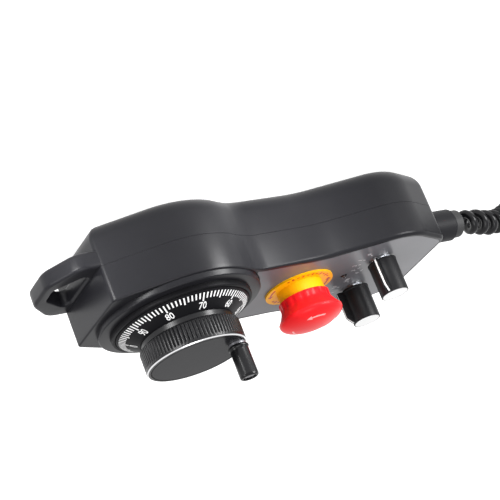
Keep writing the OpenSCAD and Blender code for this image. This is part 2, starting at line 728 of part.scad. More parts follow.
module estop_contact_block() color("#3d4a55") at_estop() difference() {
    translate([-block_length / 2, -block_width / 2, barrel_foot - block_height])
        cube([block_length, block_width, block_height]);
    translate([0, 0, barrel_foot - estop_travel - 6])
        cylinder(r = plunger_radius + moving_gap, h = estop_travel + 8);
    for (s = [1, -1], x = [-1, 1]) translate([x * block_length / 4, s * (block_width / 2 - 4),
        barrel_foot - 3])
        cylinder(r = 2, h = 4);
}

module estop_plunger() color("#c9cdd0") at_estop() translate([0, 0, barrel_foot - 4])
    cylinder(r = plunger_radius, h = skirt_ceiling - barrel_foot + 4 + 4);

module estop_button() color("#d3202a") at_estop() difference() {
    rotate_extrude($fn = 96) polygon(concat(
        [[0, skirt_ceiling], [collar_radius + moving_gap, skirt_ceiling],
            [collar_radius + moving_gap, skirt_low], [skirt_radius, skirt_low],
            [skirt_radius - 0.3, skirt_low + 5.6]],
        [for (t = [0.25:0.25:1]) [mix(skirt_radius - 0.3, mushroom_radius, pow(t, 1.6)),
            mix(skirt_low + 5.6, panel_top + mushroom_brim - 0.6, t)]],
        [for (a = [0:10:90]) [mushroom_radius * cos(a),
            panel_top + mushroom_brim + (mushroom_height - mushroom_brim) * sin(a)]]));
    translate([0, 0, skirt_ceiling - 1]) cylinder(r = plunger_radius + running_clearance, h = 5.2);
}

// ---------- Rotary switches ----------

switch_body_gap = 0.1;
bush_top = panel_top + 6;
knob_foot = panel_top + knob_gap;
knob_top = knob_foot + knob_height;
nut_radius = 6.4;
nut_height = 2.2;
cap_thickness = 0.8;
cap_radius = knob_tip_radius - 0.7;

module at_knob(side) translate([-knob_reach, side * knob_offset, 0]) children();

module switch_case(side) at_knob(side) difference() {
    union() {
        translate([0, 0, shell_under - switch_depth])
            cylinder(r = switch_radius, h = switch_depth - switch_body_gap);
        translate([0, 0, shell_under - 1]) cylinder(r = bush_radius, h = bush_top - shell_under + 1);
        for (a = [0:30:330]) rotate(a) translate([switch_radius - 3, -0.6, shell_under - switch_depth - 4])
            cube([1.2, 1.2, 4.5]);
    }
    translate([0, 0, shell_under - switch_depth + 3])
        cylinder(r = switch_shaft_radius + running_clearance, h = switch_depth + 12);
}

module switch_nut(side) at_knob(side) translate([0, 0, panel_top]) difference() {
    union() {
        cylinder(r = nut_radius + 0.4, h = 0.5);
        translate([0, 0, 0.5]) cylinder(r = nut_radius, h = nut_height, $fn = 6);
    }
    translate([0, 0, -1]) cylinder(r = bush_radius + 0.02, h = nut_height + 2);
}

module switch_shaft(side) at_knob(side) translate([0, 0, shell_under - switch_depth + 4])
    cylinder(r = switch_shaft_radius, h = knob_top - 4 - shell_under + switch_depth - 4);

module knob(side, pointer) at_knob(side) difference() {
    union() {
        translate([0, 0, knob_foot]) rotate_extrude($fn = 72) polygon([
            [0, 0], [knob_radius, 0], [knob_radius, 1.2], [knob_radius - 0.25, 1.5],
            [knob_tip_radius, knob_height - 0.5], [knob_tip_radius - 0.5, knob_height], [0, knob_height]]);
        rotate(pointer) translate([0, pointer_width / 2, knob_foot]) rotate([90, 0, 0])
            linear_extrude(pointer_width) polygon([
                [4.5, 0.1], [knob_radius + pointer_reach, 0.1],
                [knob_radius + pointer_reach, knob_height * 0.45],
                [knob_tip_radius - 0.9, knob_height - 0.9], [4.5, knob_height - 0.9]]);
    }
    translate([0, 0, knob_foot - 1]) cylinder(r = nut_radius + 0.4 + moving_gap, h = 5.6);
    translate([0, 0, knob_foot]) cylinder(r = switch_shaft_radius + 0.02, h = knob_height - 3.9);
    translate([0, 0, knob_top - cap_thickness]) cylinder(r = cap_radius + seat_gap, h = 2);
}

module knob_cap(side) at_knob(side) translate([0, 0, knob_top - cap_thickness])
    cylinder(r = cap_radius, h = cap_thickness);

module axis_switch() color("#1f4f8a") switch_case(-1);
module axis_switch_nut() color("#c8c8cc") switch_nut(-1);
module axis_switch_shaft() color("#c8c8cc") switch_shaft(-1);
module axis_knob() color("#141415") knob(-1, axis_pointer_angle);
module axis_knob_cap() color("#f2f2f0") knob_cap(-1);
module range_switch() color("#1f4f8a") switch_case(1);
module range_switch_nut() color("#c8c8cc") switch_nut(1);
module range_switch_shaft() color("#c8c8cc") switch_shaft(1);
module range_knob() color("#141415") knob(1, range_pointer_angle);
module range_knob_cap() color("#f2f2f0") knob_cap(1);

// ---------- Power lamp ----------

lamp_body_radius = lamp_radius + 0.5;

module power_lamp() color("#5c1a1a") translate([-lamp_reach, -lamp_offset, 0]) {
    translate([0, 0, shell_under - 5]) cylinder(r = lamp_body_radius, h = body_height - shell_under + 5.2);
    translate([0, 0, body_height + 0.2]) intersection() {
        sphere(r = lamp_radius);
        translate([0, 0, -0.1]) cylinder(r = lamp_radius, h = lamp_radius + 0.1);
    }
}

module power_lamp_nut() color("#2a2a2c") translate([-lamp_reach, -lamp_offset, shell_under - 2])
    difference() {
    cylinder(r = lamp_body_radius + 2, h = 2, $fn = 6);
    translate([0, 0, -1]) cylinder(r = lamp_body_radius + 0.02, h = 4);
}

// ---------- Cable gland ----------

// Places a shape along the gland's axis, with its start at a distance beyond the tail wall
module along_gland(start) translate([-tail_reach - start, 0, parting_height]) rotate([0, -90, 0]) children();
locknut_length = 4;
nut_start = gland_flange_length;
sleeve_start = gland_flange_length + gland_nut_length;
gland_length = sleeve_start + gland_sleeve_length;

module gland_body() color("#262628") difference() {
    union() {
        along_gland(0) cylinder(r = gland_radius + 0.8, h = gland_flange_length - 0.6, $fn = 6);
        along_gland(-wall - locknut_length - 2)
            cylinder(r = gland_thread_radius, h = wall + locknut_length + 2 + gland_flange_length);
    }
    along_gland(-wall - locknut_length - 3) cylinder(r = cable_radius + hole_clearance, h = 40);
}

module gland_locknut() color("#262628") difference() {
    along_gland(-wall - locknut_length) cylinder(r = gland_thread_radius + 3, h = locknut_length, $fn = 6);
    along_gland(-wall - locknut_length - 1) cylinder(r = gland_thread_radius + 0.02, h = locknut_length + 2);
}

module gland_nut() color("#262628") difference() {
    along_gland(nut_start) rotate_extrude($fn = 64) polygon([
        [0, 0], [gland_radius - 0.4, 0], [gland_radius, 1], [gland_radius, gland_nut_length - 1.2],
        [gland_radius - 1, gland_nut_length], [0, gland_nut_length]]);
    along_gland(nut_start - 1) cylinder(r = cable_radius + hole_clearance, h = gland_nut_length + 2);
}

module gland_sleeve() color("#1b1b1c") difference() {
    along_gland(sleeve_start) rotate_extrude($fn = 64) polygon([
        [0, 0], [gland_radius - 1.2, 0], [gland_radius - 1.4, gland_sleeve_length - 1],
        [gland_radius - 2.4, gland_sleeve_length], [0, gland_sleeve_length]]);
    along_gland(sleeve_start - 1) cylinder(r = cable_radius + hole_clearance, h = gland_sleeve_length - 3);
}

// ---------- Cable ----------

// Route of the cable inside the housing, from the gland to the encoder's terminals
inner_route = [[-162, 0, 26], [-152, 0, 24], [-142, 1, 16], [-130, 2, 9], [-112, 3, 7], [-90, 3, 7],
    [-66, 3, 7], [-48, 2, 7], [-34, 0, 9], [-20, 0, 13]];
// Middle line of the curled stretch from the gland down to the floor
lead_route = [[-224, 1.5, 26], [-237, 6.5, 25.8], [-250, 12.5, 24.4],
    [-263, 18, 20.6], [-275, 22.5, 15.4], [-287, 26.6, 11]];
// Middle of the wound ring, the direction where it starts, and its first radius
ring_middle = [-320, -26];
ring_start_angle = 70;
ring_radius = 60;
// How far the ring draws in on each turn, its height above the floor and its number of turns
ring_draw = 18.5;
ring_height = 9;
ring_turns = 1.15;
ring_steps = 40;
// Route of the straight tail inside the ring, up to the plug
tail_route = [[-351, -3, 6.4], [-357, -14, 3.4], [-358, -28, 3.2], [-353, -42, 3.2], [-343, -52.5, 3.2],
    [-330, -58, 3.2], [-317, -59, 3.2], [-305, -57, 3.4], [-296, -51, 4], [-292, -42, 5.2],
    [-295, -33, 7], [-303, -27, 8.8]];
plug_start = [-310, -26, 9.2];

ring_route = [for (k = [0:ring_steps * ring_turns])
    let (a = ring_start_angle + 360 * k / ring_steps, r = ring_radius - ring_draw * k / ring_steps)
    [ring_middle[0] + r * cos(a), ring_middle[1] + r * sin(a), ring_height]];
curl_route = concat([[-tail_reach - gland_length, 0, parting_height]], lead_route, ring_route);

module inner_cable() color("#2a2a2a") skin(route_rings(inner_route, cable_radius, 10));
module curly_cord() color("#1c1c1e") skin(route_rings(curl_route, curl_radius, 12));
module cord_tail() color("#1c1c1e")
    skin(route_rings(concat([ring_route[len(ring_route) - 1]], tail_route, [plug_start]), cable_radius, 10));

tie_angle = 98;
tie_width = 14;
tie_thickness = 0.7;
// How far the tie stands out past the coil, which lifts it off the floor, and how far its inside presses in
tie_rise = 0.15;

module cord_tie() color("#2c2c30") {
    r = ring_radius - ring_draw * (tie_angle - ring_start_angle) / 360 - ring_draw / 2;
    long = ring_draw / 2 + curl_radius;
    translate([ring_middle[0] + r * cos(tie_angle), ring_middle[1] + r * sin(tie_angle), ring_height])
        rotate([0, 0, tie_angle]) rotate([90, 0, 0]) translate([0, 0, -tie_width / 2])
        linear_extrude(tie_width) difference() {
            tie_section(long, curl_radius + tie_rise);
            tie_section(long - tie_thickness, curl_radius + tie_rise - tie_thickness);
        }
}

// An oval of flat sides and round ends
module tie_section(half_long, half_high) {
    square([2 * (half_long - half_high), 2 * half_high], center = true);
    for (s = [1, -1]) translate([s * (half_long - half_high), 0]) circle(r = half_high);
}

module along_plug(start) translate([plug_start[0] - start, plug_start[1], plug_start[2]])
    rotate([0, -90, 0]) children();

module plug_shell() color("#3a3b3e") along_plug(0) rotate_extrude($fn = 64) polygon([
    [0, 0], [plug_radius - 3.5, 0], [plug_radius - 3, 4],
        [plug_radius - 1, 6], [plug_radius - 1, plug_length - 4],
    [plug_radius - 2.5, plug_length - 3.6], [plug_radius - 2.5, plug_length + ring_length - 1],
    [0, plug_length + ring_length - 1]]);

module plug_ring() color("#b8b9bd") along_plug(plug_length - 3) difference() {
    rotate_extrude($fn = 64) polygon([
        [plug_radius - 2.5 + moving_gap, 0], [plug_radius - 0.6, 0], [plug_radius, 0.8],
        [plug_radius, ring_length - 1], [plug_radius - 0.6, ring_length],
        [plug_radius - 2.5 + moving_gap, ring_length]]);
}

module plug_insert() color("#d8d0b8") along_plug(plug_length + ring_length - 1) {
    cylinder(r = plug_radius - 3.4, h = 1.2);
    for (a = [0:60:300]) rotate(a) translate([plug_radius - 5.6, 0, 1.2]) cylinder(r = 0.5, h = 1.4);
}

front_shell();
back_shell();
hang_loop();
shell_seal();
shell_screws();
panel_plate();
encoder_flange();
encoder_can();
encoder_screws();
encoder_bearings();
encoder_shaft();
code_disc();
encoder_board();
encoder_terminals();
graduated_dial();
handwheel();
hub_nut();
wheel_face_plate();
crank_washer();
crank_pin();
crank_grip();
estop_legend_ring();
estop_collar();
estop_lock_nut();
estop_contact_block();
estop_plunger();
estop_button();
axis_switch();
axis_switch_nut();
axis_switch_shaft();
axis_knob();
axis_knob_cap();
range_switch();
range_switch_nut();
range_switch_shaft();
range_knob();
range_knob_cap();
power_lamp();
power_lamp_nut();
gland_body();
gland_nut();
gland_sleeve();
gland_locknut();
inner_cable();
curly_cord();
cord_tail();
cord_tie();
plug_shell();
plug_ring();
plug_insert();
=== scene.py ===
# %% [markdown]
# # A machine tool's hand pendant, dressed for its picture
# The pendant is a palm-sized box that a machine setter holds: a graduated handwheel with a
# turning crank, an emergency stop, two rotary selectors and a curled cord. Its solids come from
# the part's own model and stay where they are. This lesson gives them their finishes, and rebuilds
# the pieces whose moulded curves need more facets than the solids carry.

# %% Load the solids
import json
from math import atan2, ceil, copysign, cos, degrees, pi, radians, sin, sqrt, tan

import bpy
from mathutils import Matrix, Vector


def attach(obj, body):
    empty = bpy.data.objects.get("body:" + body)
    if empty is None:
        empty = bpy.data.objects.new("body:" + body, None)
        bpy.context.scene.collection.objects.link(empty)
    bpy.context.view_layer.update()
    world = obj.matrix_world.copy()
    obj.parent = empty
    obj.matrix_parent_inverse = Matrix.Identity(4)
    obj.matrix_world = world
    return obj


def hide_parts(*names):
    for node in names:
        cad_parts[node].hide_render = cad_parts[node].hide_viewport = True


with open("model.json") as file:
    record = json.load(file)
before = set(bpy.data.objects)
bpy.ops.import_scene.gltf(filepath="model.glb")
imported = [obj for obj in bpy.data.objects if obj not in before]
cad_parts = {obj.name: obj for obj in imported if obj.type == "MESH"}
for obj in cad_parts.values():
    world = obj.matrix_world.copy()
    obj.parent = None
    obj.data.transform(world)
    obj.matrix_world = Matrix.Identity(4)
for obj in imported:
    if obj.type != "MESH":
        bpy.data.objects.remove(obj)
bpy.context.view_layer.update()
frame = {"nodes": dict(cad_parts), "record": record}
solids = frame["nodes"]
MM = 0.001

# %% [markdown]
# The camera stands low over the pendant's near side, at the height of the eyes of someone who bends
# over the bench, and it is rolled almost upside down, so that the dial hangs below the box as it
# does when the pendant is held up by its cord. A long lens keeps the box from flaring toward us.

# %% Camera
lens = bpy.data.cameras.new("pendant_lens")
lens.lens = 126
lens.sensor_width = 36
camera = bpy.data.objects.new("pendant_camera", lens)
camera.location = (0.46728, -0.82363, 0.36232)
camera.rotation_euler = (radians(-69.2866), radians(-20.6454), radians(-154.9764))
bpy.context.scene.collection.objects.link(camera)
bpy.context.scene.camera = camera
print("camera at", [round(c, 3) for c in camera.location])

# %% [markdown]
# The curled cord is the pendant's longest piece. On the real product a straight cable is wound hot
# round a rod and keeps that spring shape. It could be a long tube with a bump for the turns, but
# light must pass between them, so it is wound here as it is in the factory: first the middle line
# that the spring follows, then a point that circles that line. The turns stand open where the cord
# leaves the pendant, drawn out by its own weight, and close up further along.

# %% The middle line of the curled cord
GLAND_MOUTH = Vector((-212.0, 0, 26))
LEAD = [Vector(p) for p in ((-224, 1.5, 26), (-237, 6.5, 25.8), (-250, 12.5, 24.4),
                            (-263, 18, 20.6), (-275, 22.5, 15.4), (-287, 26.6, 11))]
RING_MIDDLE = Vector((-320, -26, 9))
RING_START, RING_RADIUS, RING_DRAW, RING_TURNS = 70, 60, 18.5, 1.15
TAIL = [Vector(p) for p in ((-351, -3, 6.4), (-357, -14, 3.4), (-358, -28, 3.2), (-353, -42, 3.2),
                            (-343, -52.5, 3.2), (-330, -58, 3.2), (-317, -59, 3.2), (-305, -57, 3.4),
                            (-296, -51, 4), (-292, -42, 5.2), (-295, -33, 7), (-303, -27, 8.8),
                            (-310, -26, 9.2))]


def ring_point(turns):
    """A point of the wound ring, so many turns after its start."""
    angle = radians(RING_START + 360 * turns)
    radius = RING_RADIUS - RING_DRAW * turns
    return RING_MIDDLE + Vector((radius * cos(angle), radius * sin(angle), 0))


def through(points, steps):
    """A smooth line through the points, with so many steps between each two."""
    line = []
    for i in range(len(points) - 1):
        before, here = points[max(i - 1, 0)], points[i]
        there, after = points[i + 1], points[min(i + 2, len(points) - 1)]
        for k in range(steps):
            t = k / steps
            line.append(0.5 * (2 * here + (there - before) * t
                               + (2 * before - 5 * here + 4 * there - after) * t * t
                               + (3 * here - before - 3 * there + after) * t ** 3))
    return line + [points[-1]]


def evenly(line, gap):
    """Points spaced evenly along a line."""
    out, carried = [line[0]], 0.0
    for a, b in zip(line, line[1:]):
        span = (b - a).length
        while span > 0 and carried + span >= gap:
            a = a + (b - a) * ((gap - carried) / span)
            out.append(a)
            span, carried = (b - a).length, 0.0
        carried += span
    return out


ring = [ring_point(k / 40) for k in range(int(40 * RING_TURNS) + 1)]
middle_line = through([GLAND_MOUTH] + LEAD + ring, 6)
print("the middle line has", len(middle_line), "points")

# %% Wind the cable round its middle line
CABLE_RADIUS, CURL_RADIUS, CURL_PITCH, POINTS_PER_TURN = 2.65, 5.6, 6.7, 15
DRAWN_PITCH, DRAWN_LENGTH = 11.0, 45.0
START_TURN = pi / 2
STEP_ALONG = CURL_PITCH / POINTS_PER_TURN
curl_line = evenly(middle_line, STEP_ALONG)
turn = START_TURN
cable_line = [GLAND_MOUTH + Vector((6, 0, 0)), GLAND_MOUTH + Vector((3, 0, 0))]
for i, here in enumerate(curl_line):
    ahead = (curl_line[min(i + 1, len(curl_line) - 1)] - curl_line[max(i - 1, 0)]).normalized()
    sideways = Vector((0, 0, 1)).cross(ahead).normalized()
    upward = ahead.cross(sideways)
    left = (len(curl_line) - 1 - i) / POINTS_PER_TURN
    swing = CURL_RADIUS * min(1.0, i / POINTS_PER_TURN, left)
    cable_line.append(here + swing * (cos(turn) * sideways + sin(turn) * upward))
    closing = min(1.0, max(0.0, i * STEP_ALONG / DRAWN_LENGTH - 1))
    turn += 2 * pi * STEP_ALONG / (DRAWN_PITCH + (CURL_PITCH - DRAWN_PITCH) * closing)
cable_line += through([ring[-1]] + TAIL, 8)[6:]

# %% The cable itself
cable_curve = bpy.data.curves.new("curled_cable", "CURVE")
cable_curve.dimensions = "3D"
cable_curve.bevel_depth = 1.0
cable_curve.bevel_resolution = 3
cable_curve.use_fill_caps = True
strand = cable_curve.splines.new("POLY")
strand.points.add(len(cable_line) - 1)
for point, place in zip(strand.points, cable_line):
    point.co = (*(place * MM), 1)
    point.radius = CABLE_RADIUS * MM
strand.use_smooth = True
cable = bpy.data.objects.new("curled_cable", cable_curve)
bpy.context.scene.collection.objects.link(cable)
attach(cable, "housing")
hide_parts("curly_cord", "cord_tail")
print("curled_cable made")

# %% [markdown]
# The pendant lies in a plain white studio. The floor is a pale sheet that also shines a little for
# the camera and for mirror-like pieces, so it reads as white while it still takes a soft shadow.
# The sky is one even grey for the light that falls on the object, and white where it is looked at.

# %% A helper for shader nodes
def put(tree, kind, label=None, **settings):
    """Adds a shader node and sets its attributes."""
    node = tree.nodes.new(kind)
    if label:
        node.label = label
    for name, value in settings.items():
        setattr(node, name, value)
    return node


def seen_directly(tree):
    """1 where the camera, a mirror or a glass looks, and 0 for the light on the object."""
    paths = put(tree, "ShaderNodeLightPath")
    first = put(tree, "ShaderNodeMath", "camera or mirror", operation="MAXIMUM")
    second = put(tree, "ShaderNodeMath", "or glass", operation="MAXIMUM")
    tree.links.new(paths.outputs["Is Camera Ray"], first.inputs[0])
    tree.links.new(paths.outputs["Is Glossy Ray"], first.inputs[1])
    tree.links.new(first.outputs[0], second.inputs[0])
    tree.links.new(paths.outputs["Is Transmission Ray"], second.inputs[1])
    return second.outputs[0]


print("helpers ready")

# %% Studio sky and floor
scene = bpy.context.scene
scene.view_settings.view_transform = "Standard"
sky = bpy.data.worlds.new("studio_sky")
sky.use_nodes = True
scene.world = sky
sky_tree = sky.node_tree
backdrop = sky_tree.nodes["Background"]
backdrop.inputs["Color"].default_value = (1, 1, 1, 1)
sky_level = put(sky_tree, "ShaderNodeMix", "sky level", data_type="FLOAT")
sky_level.inputs["A"].default_value = 0.55
sky_level.inputs["B"].default_value = 1.0
sky_tree.links.new(seen_directly(sky_tree), sky_level.inputs["Factor"])
sky_tree.links.new(sky_level.outputs["Result"], backdrop.inputs["Strength"])

floor_material = bpy.data.materials.new("studio_floor")
floor_material.use_nodes = True
floor_tree = floor_material.node_tree
floor_tree.nodes.clear()
floor_out = put(floor_tree, "ShaderNodeOutputMaterial")
floor_sum = put(floor_tree, "ShaderNodeAddShader")
floor_matt = put(floor_tree, "ShaderNodeBsdfDiffuse")
floor_matt.inputs["Color"].default_value = (0.8, 0.8, 0.8, 1)
floor_shine = put(floor_tree, "ShaderNodeEmission")
shine_level = put(floor_tree, "ShaderNodeMath", "shine level", operation="MULTIPLY")
shine_level.inputs[1].default_value = 0.8
floor_tree.links.new(seen_directly(floor_tree), shine_level.inputs[0])
floor_tree.links.new(shine_level.outputs[0], floor_shine.inputs["Strength"])
floor_tree.links.new(floor_matt.outputs[0], floor_sum.inputs[0])
floor_tree.links.new(floor_shine.outputs[0], floor_sum.inputs[1])
floor_tree.links.new(floor_sum.outputs[0], floor_out.inputs["Surface"])

floor_mesh = bpy.data.meshes.new("studio_floor")
FLOOR_HALF, FLOOR_DROP = 6.0, -0.0006
floor_corners = [(x * FLOOR_HALF, y * FLOOR_HALF, FLOOR_DROP)
                 for x, y in ((-1, -1), (1, -1), (1, 1), (-1, 1))]
floor_mesh.from_pydata(floor_corners, [], [(0, 1, 2, 3)])
floor_mesh.materials.append(floor_material)
floor = bpy.data.objects.new("studio_floor", floor_mesh)
scene.collection.objects.link(floor)
print("sky and floor set")

# %% Softboxes
def softbox(name, place, aim, size, power):
    """A rectangular lamp at a place, turned to a point, both in millimetres."""
    lamp = bpy.data.lights.new(name, "AREA")
    lamp.shape = "RECTANGLE"
    lamp.size, lamp.size_y = size[0] * MM, size[1] * MM
    lamp.energy = power
    holder = bpy.data.objects.new(name, lamp)
    holder.location = Vector(place) * MM
    holder.rotation_euler = (Vector(aim) - Vector(place)).to_track_quat("-Z", "Y").to_euler()
    holder.visible_camera = False
    scene.collection.objects.link(holder)
    return holder


softbox("front_softbox", (250, -500, 900), (-60, 0, 40), (500, 500), 4.0)
softbox("head_side_softbox", (700, -120, 350), (0, 0, 60), (260, 420), 2.2)
softbox("grip_side_softbox", (-470, -560, 130), (-70, -40, 30), (300, 200), 4.5)
softbox("far_tail_softbox", (-780, 660, 300), (-150, 0, 48), (300, 300), 0.25)
softbox("low_head_strip", (112, -74, 28), (0, 0, 60), (36, 34), 0.12)
softbox("low_grip_strip", (-72, -112, 28), (0, 0, 60), (36, 34), 0.12)

# %% [markdown]
# Most of the pendant is moulded plastic. Under the light it is never one flat colour: the mould's
# spark-eroded skin gives it a fine grain, and hands leave cloudy, slightly shinier patches. Both
# come from one node group, which each plastic uses with its own colour and its own grain.

# %% The moulded skin, as a node group
def new_group(name, inputs, outputs):
    """An empty shader node group with named sockets."""
    group = bpy.data.node_groups.new(name, "ShaderNodeTree")
    for label, kind, value in inputs:
        socket = group.interface.new_socket(label, in_out="INPUT", socket_type=kind)
        socket.default_value = value
    for label, kind in outputs:
        group.interface.new_socket(label, in_out="OUTPUT", socket_type=kind)
    return group, put(group, "NodeGroupInput"), put(group, "NodeGroupOutput")


COLOUR, NUMBER = "NodeSocketColor", "NodeSocketFloat"
moulded_skin, given, result = new_group(
    "moulded_skin",
    [("Colour", COLOUR, (0.03, 0.03, 0.03, 1)), ("Patch Colour", COLOUR, (0.04, 0.04, 0.04, 1)),
     ("Roughness", NUMBER, 0.45), ("Roughness Spread", NUMBER, 0.1), ("Grain Scale", NUMBER, 1500.0),
     ("Patch Scale", NUMBER, 28.0)],
    [("Colour", COLOUR), ("Roughness", NUMBER), ("Height", NUMBER)])
surface = put(moulded_skin, "ShaderNodeTexCoord")
clouds = put(moulded_skin, "ShaderNodeTexNoise", "handled patches")
clouds.inputs["Detail"].default_value = 3
grain = put(moulded_skin, "ShaderNodeTexNoise", "eroded grain")
grain.inputs["Detail"].default_value = 2
blend = put(moulded_skin, "ShaderNodeMix", "patch blend", data_type="RGBA")
spread = put(moulded_skin, "ShaderNodeMath", "spread", operation="MULTIPLY_ADD")
centred = put(moulded_skin, "ShaderNodeMath", "centred", operation="SUBTRACT")
centred.inputs[1].default_value = 0.5
link = moulded_skin.links.new
link(surface.outputs["Object"], clouds.inputs["Vector"])
link(surface.outputs["Object"], grain.inputs["Vector"])
link(given.outputs["Patch Scale"], clouds.inputs["Scale"])
link(given.outputs["Grain Scale"], grain.inputs["Scale"])
link(clouds.outputs["Fac"], blend.inputs["Factor"])
link(given.outputs["Colour"], blend.inputs["A"])
link(given.outputs["Patch Colour"], blend.inputs["B"])
link(clouds.outputs["Fac"], centred.inputs[0])
link(centred.outputs[0], spread.inputs[0])
link(given.outputs["Roughness Spread"], spread.inputs[1])
link(given.outputs["Roughness"], spread.inputs[2])
link(blend.outputs["Result"], result.inputs["Colour"])
link(spread.outputs[0], result.inputs["Roughness"])
link(grain.outputs["Fac"], result.inputs["Height"])
print("moulded_skin has", len(moulded_skin.nodes), "nodes")

# %% [markdown]
# Turned and plated metal shows fine rings or streaks from the tool, and small dull spots where the
# plating has aged. A second group gives that: a noise drawn out along one direction for the
# streaks, and a soft one for the dull spots.

# %% The turned metal, as a node group
turned_metal, given, result = new_group(
    "turned_metal",
    [("Colour", COLOUR, (0.6, 0.6, 0.6, 1)), ("Dull Colour", COLOUR, (0.4, 0.4, 0.4, 1)),
     ("Roughness", NUMBER, 0.25), ("Streaks", NUMBER, 900.0), ("Streak Depth", NUMBER, 0.15)],
    [("Colour", COLOUR), ("Roughness", NUMBER), ("Height", NUMBER)])
surface = put(turned_metal, "ShaderNodeTexCoord")
drawn_out = put(turned_metal, "ShaderNodeMapping", "streaks follow the height")
drawn_out.inputs["Scale"].default_value = (0.04, 0.04, 1)
streaks = put(turned_metal, "ShaderNodeTexNoise", "tool streaks")
streaks.inputs["Detail"].default_value = 3
spots = put(turned_metal, "ShaderNodeTexNoise", "dull spots")
spots.inputs["Scale"].default_value = 180
dulling = put(turned_metal, "ShaderNodeMix", "dulling", data_type="RGBA")
rougher = put(turned_metal, "ShaderNodeMath", "rougher", operation="MULTIPLY_ADD")
link = turned_metal.links.new
link(surface.outputs["Object"], drawn_out.inputs["Vector"])
link(drawn_out.outputs["Vector"], streaks.inputs["Vector"])
link(given.outputs["Streaks"], streaks.inputs["Scale"])
link(surface.outputs["Object"], spots.inputs["Vector"])
link(spots.outputs["Fac"], dulling.inputs["Factor"])
link(given.outputs["Colour"], dulling.inputs["A"])
link(given.outputs["Dull Colour"], dulling.inputs["B"])
link(streaks.outputs["Fac"], rougher.inputs[0])
link(given.outputs["Streak Depth"], rougher.inputs[1])
link(given.outputs["Roughness"], rougher.inputs[2])
link(dulling.outputs["Result"], result.inputs["Colour"])
link(rougher.outputs[0], result.inputs["Roughness"])
link(streaks.outputs["Fac"], result.inputs["Height"])
print("turned_metal has", len(turned_metal.nodes), "nodes")

# %% A material that uses one of the groups
def finish_of(name, group, values, bump=0.1, bump_height=0.00004, **shader_values):
    """A material whose colour, roughness and bump come from a node group with its own values."""
    material = bpy.data.materials.new(name)
    material.use_nodes = True
    tree = material.node_tree
    shader = tree.nodes["Principled BSDF"]
    for socket, value in shader_values.items():
        shader.inputs[socket.replace("_", " ")].default_value = value
    skin = put(tree, "ShaderNodeGroup", group.name, node_tree=group)
    for socket, value in values.items():
        skin.inputs[socket].default_value = value
    relief = put(tree, "ShaderNodeBump", "relief")
    relief.inputs["Strength"].default_value = bump
    relief.inputs["Distance"].default_value = bump_height
    tree.links.new(skin.outputs["Colour"], shader.inputs["Base Color"])
    tree.links.new(skin.outputs["Roughness"], shader.inputs["Roughness"])
    tree.links.new(skin.outputs["Height"], relief.inputs["Height"])
    tree.links.new(relief.outputs["Normal"], shader.inputs["Normal"])
    return material


def plastic(name, colour, patch, roughness, spread=0.08, grain=1500.0, patches=28.0, bump=0.12,
            **shader_values):
    """A moulded plastic or rubber."""
    values = {"Colour": (*colour, 1), "Patch Colour": (*patch, 1), "Roughness": roughness,
              "Roughness Spread": spread, "Grain Scale": grain, "Patch Scale": patches}
    return finish_of(name, moulded_skin, values, bump, **shader_values)


def metal(name, colour, dull, roughness, streaks=900.0, depth=0.12, bump=0.05, **shader_values):
    """A turned, pressed or plated metal."""
    values = {"Colour": (*colour, 1), "Dull Colour": (*dull, 1), "Roughness": roughness,
              "Streaks": streaks, "Streak Depth": depth}
    return finish_of(name, turned_metal, values, bump, Metallic=1.0, **shader_values)


print("finishes can be mixed")

# %% Finishes of the housing and the panel
finishes = {
    "housing": plastic("housing", (0.007, 0.007, 0.009), (0.012, 0.012, 0.014), 0.33, 0.08,
                       1500, 24, 0.1, Specular_IOR_Level=0.14),
    "seal_rubber": plastic("seal_rubber", (0.012, 0.012, 0.012), (0.018, 0.018, 0.018), 0.7),
    "panel": plastic("panel", (0.11, 0.11, 0.122), (0.13, 0.13, 0.142), 0.34, 0.08,
                     2600, 40, 0.1, Specular_IOR_Level=0.3),
    "gland_black": plastic("gland_black", (0.009, 0.009, 0.011), (0.014, 0.014, 0.016), 0.5, 0.1,
                           1300, 60, 0.25, Specular_IOR_Level=0.14),
    "sleeve_rubber": plastic("sleeve_rubber", (0.012, 0.012, 0.013), (0.018, 0.018, 0.019), 0.6),
    "cord_black": plastic("cord_black", (0.003, 0.003, 0.004), (0.006, 0.006, 0.007), 0.3, 0.08,
                          1800, 90, 0.08, Specular_IOR_Level=0.25),
    "tie_black": plastic("tie_black", (0.02, 0.02, 0.022), (0.035, 0.035, 0.038), 0.75, 0.1, 900, 150, 0.4),
    "block_grey": plastic("block_grey", (0.12, 0.15, 0.18), (0.15, 0.18, 0.2), 0.5),
    "plunger_white": plastic("plunger_white", (0.6, 0.62, 0.63), (0.7, 0.7, 0.7), 0.45),
    "switch_blue": plastic("switch_blue", (0.03, 0.1, 0.3), (0.04, 0.13, 0.34), 0.4),
    "board_green": plastic("board_green", (0.02, 0.12, 0.05), (0.03, 0.16, 0.07), 0.35),
    "terminal_green": plastic("terminal_green", (0.05, 0.22, 0.09), (0.06, 0.26, 0.11), 0.45),
    "plug_insert": plastic("plug_insert", (0.55, 0.5, 0.36), (0.62, 0.57, 0.42), 0.5)}
print(len(finishes), "finishes of the housing, the panel and the hidden pieces")

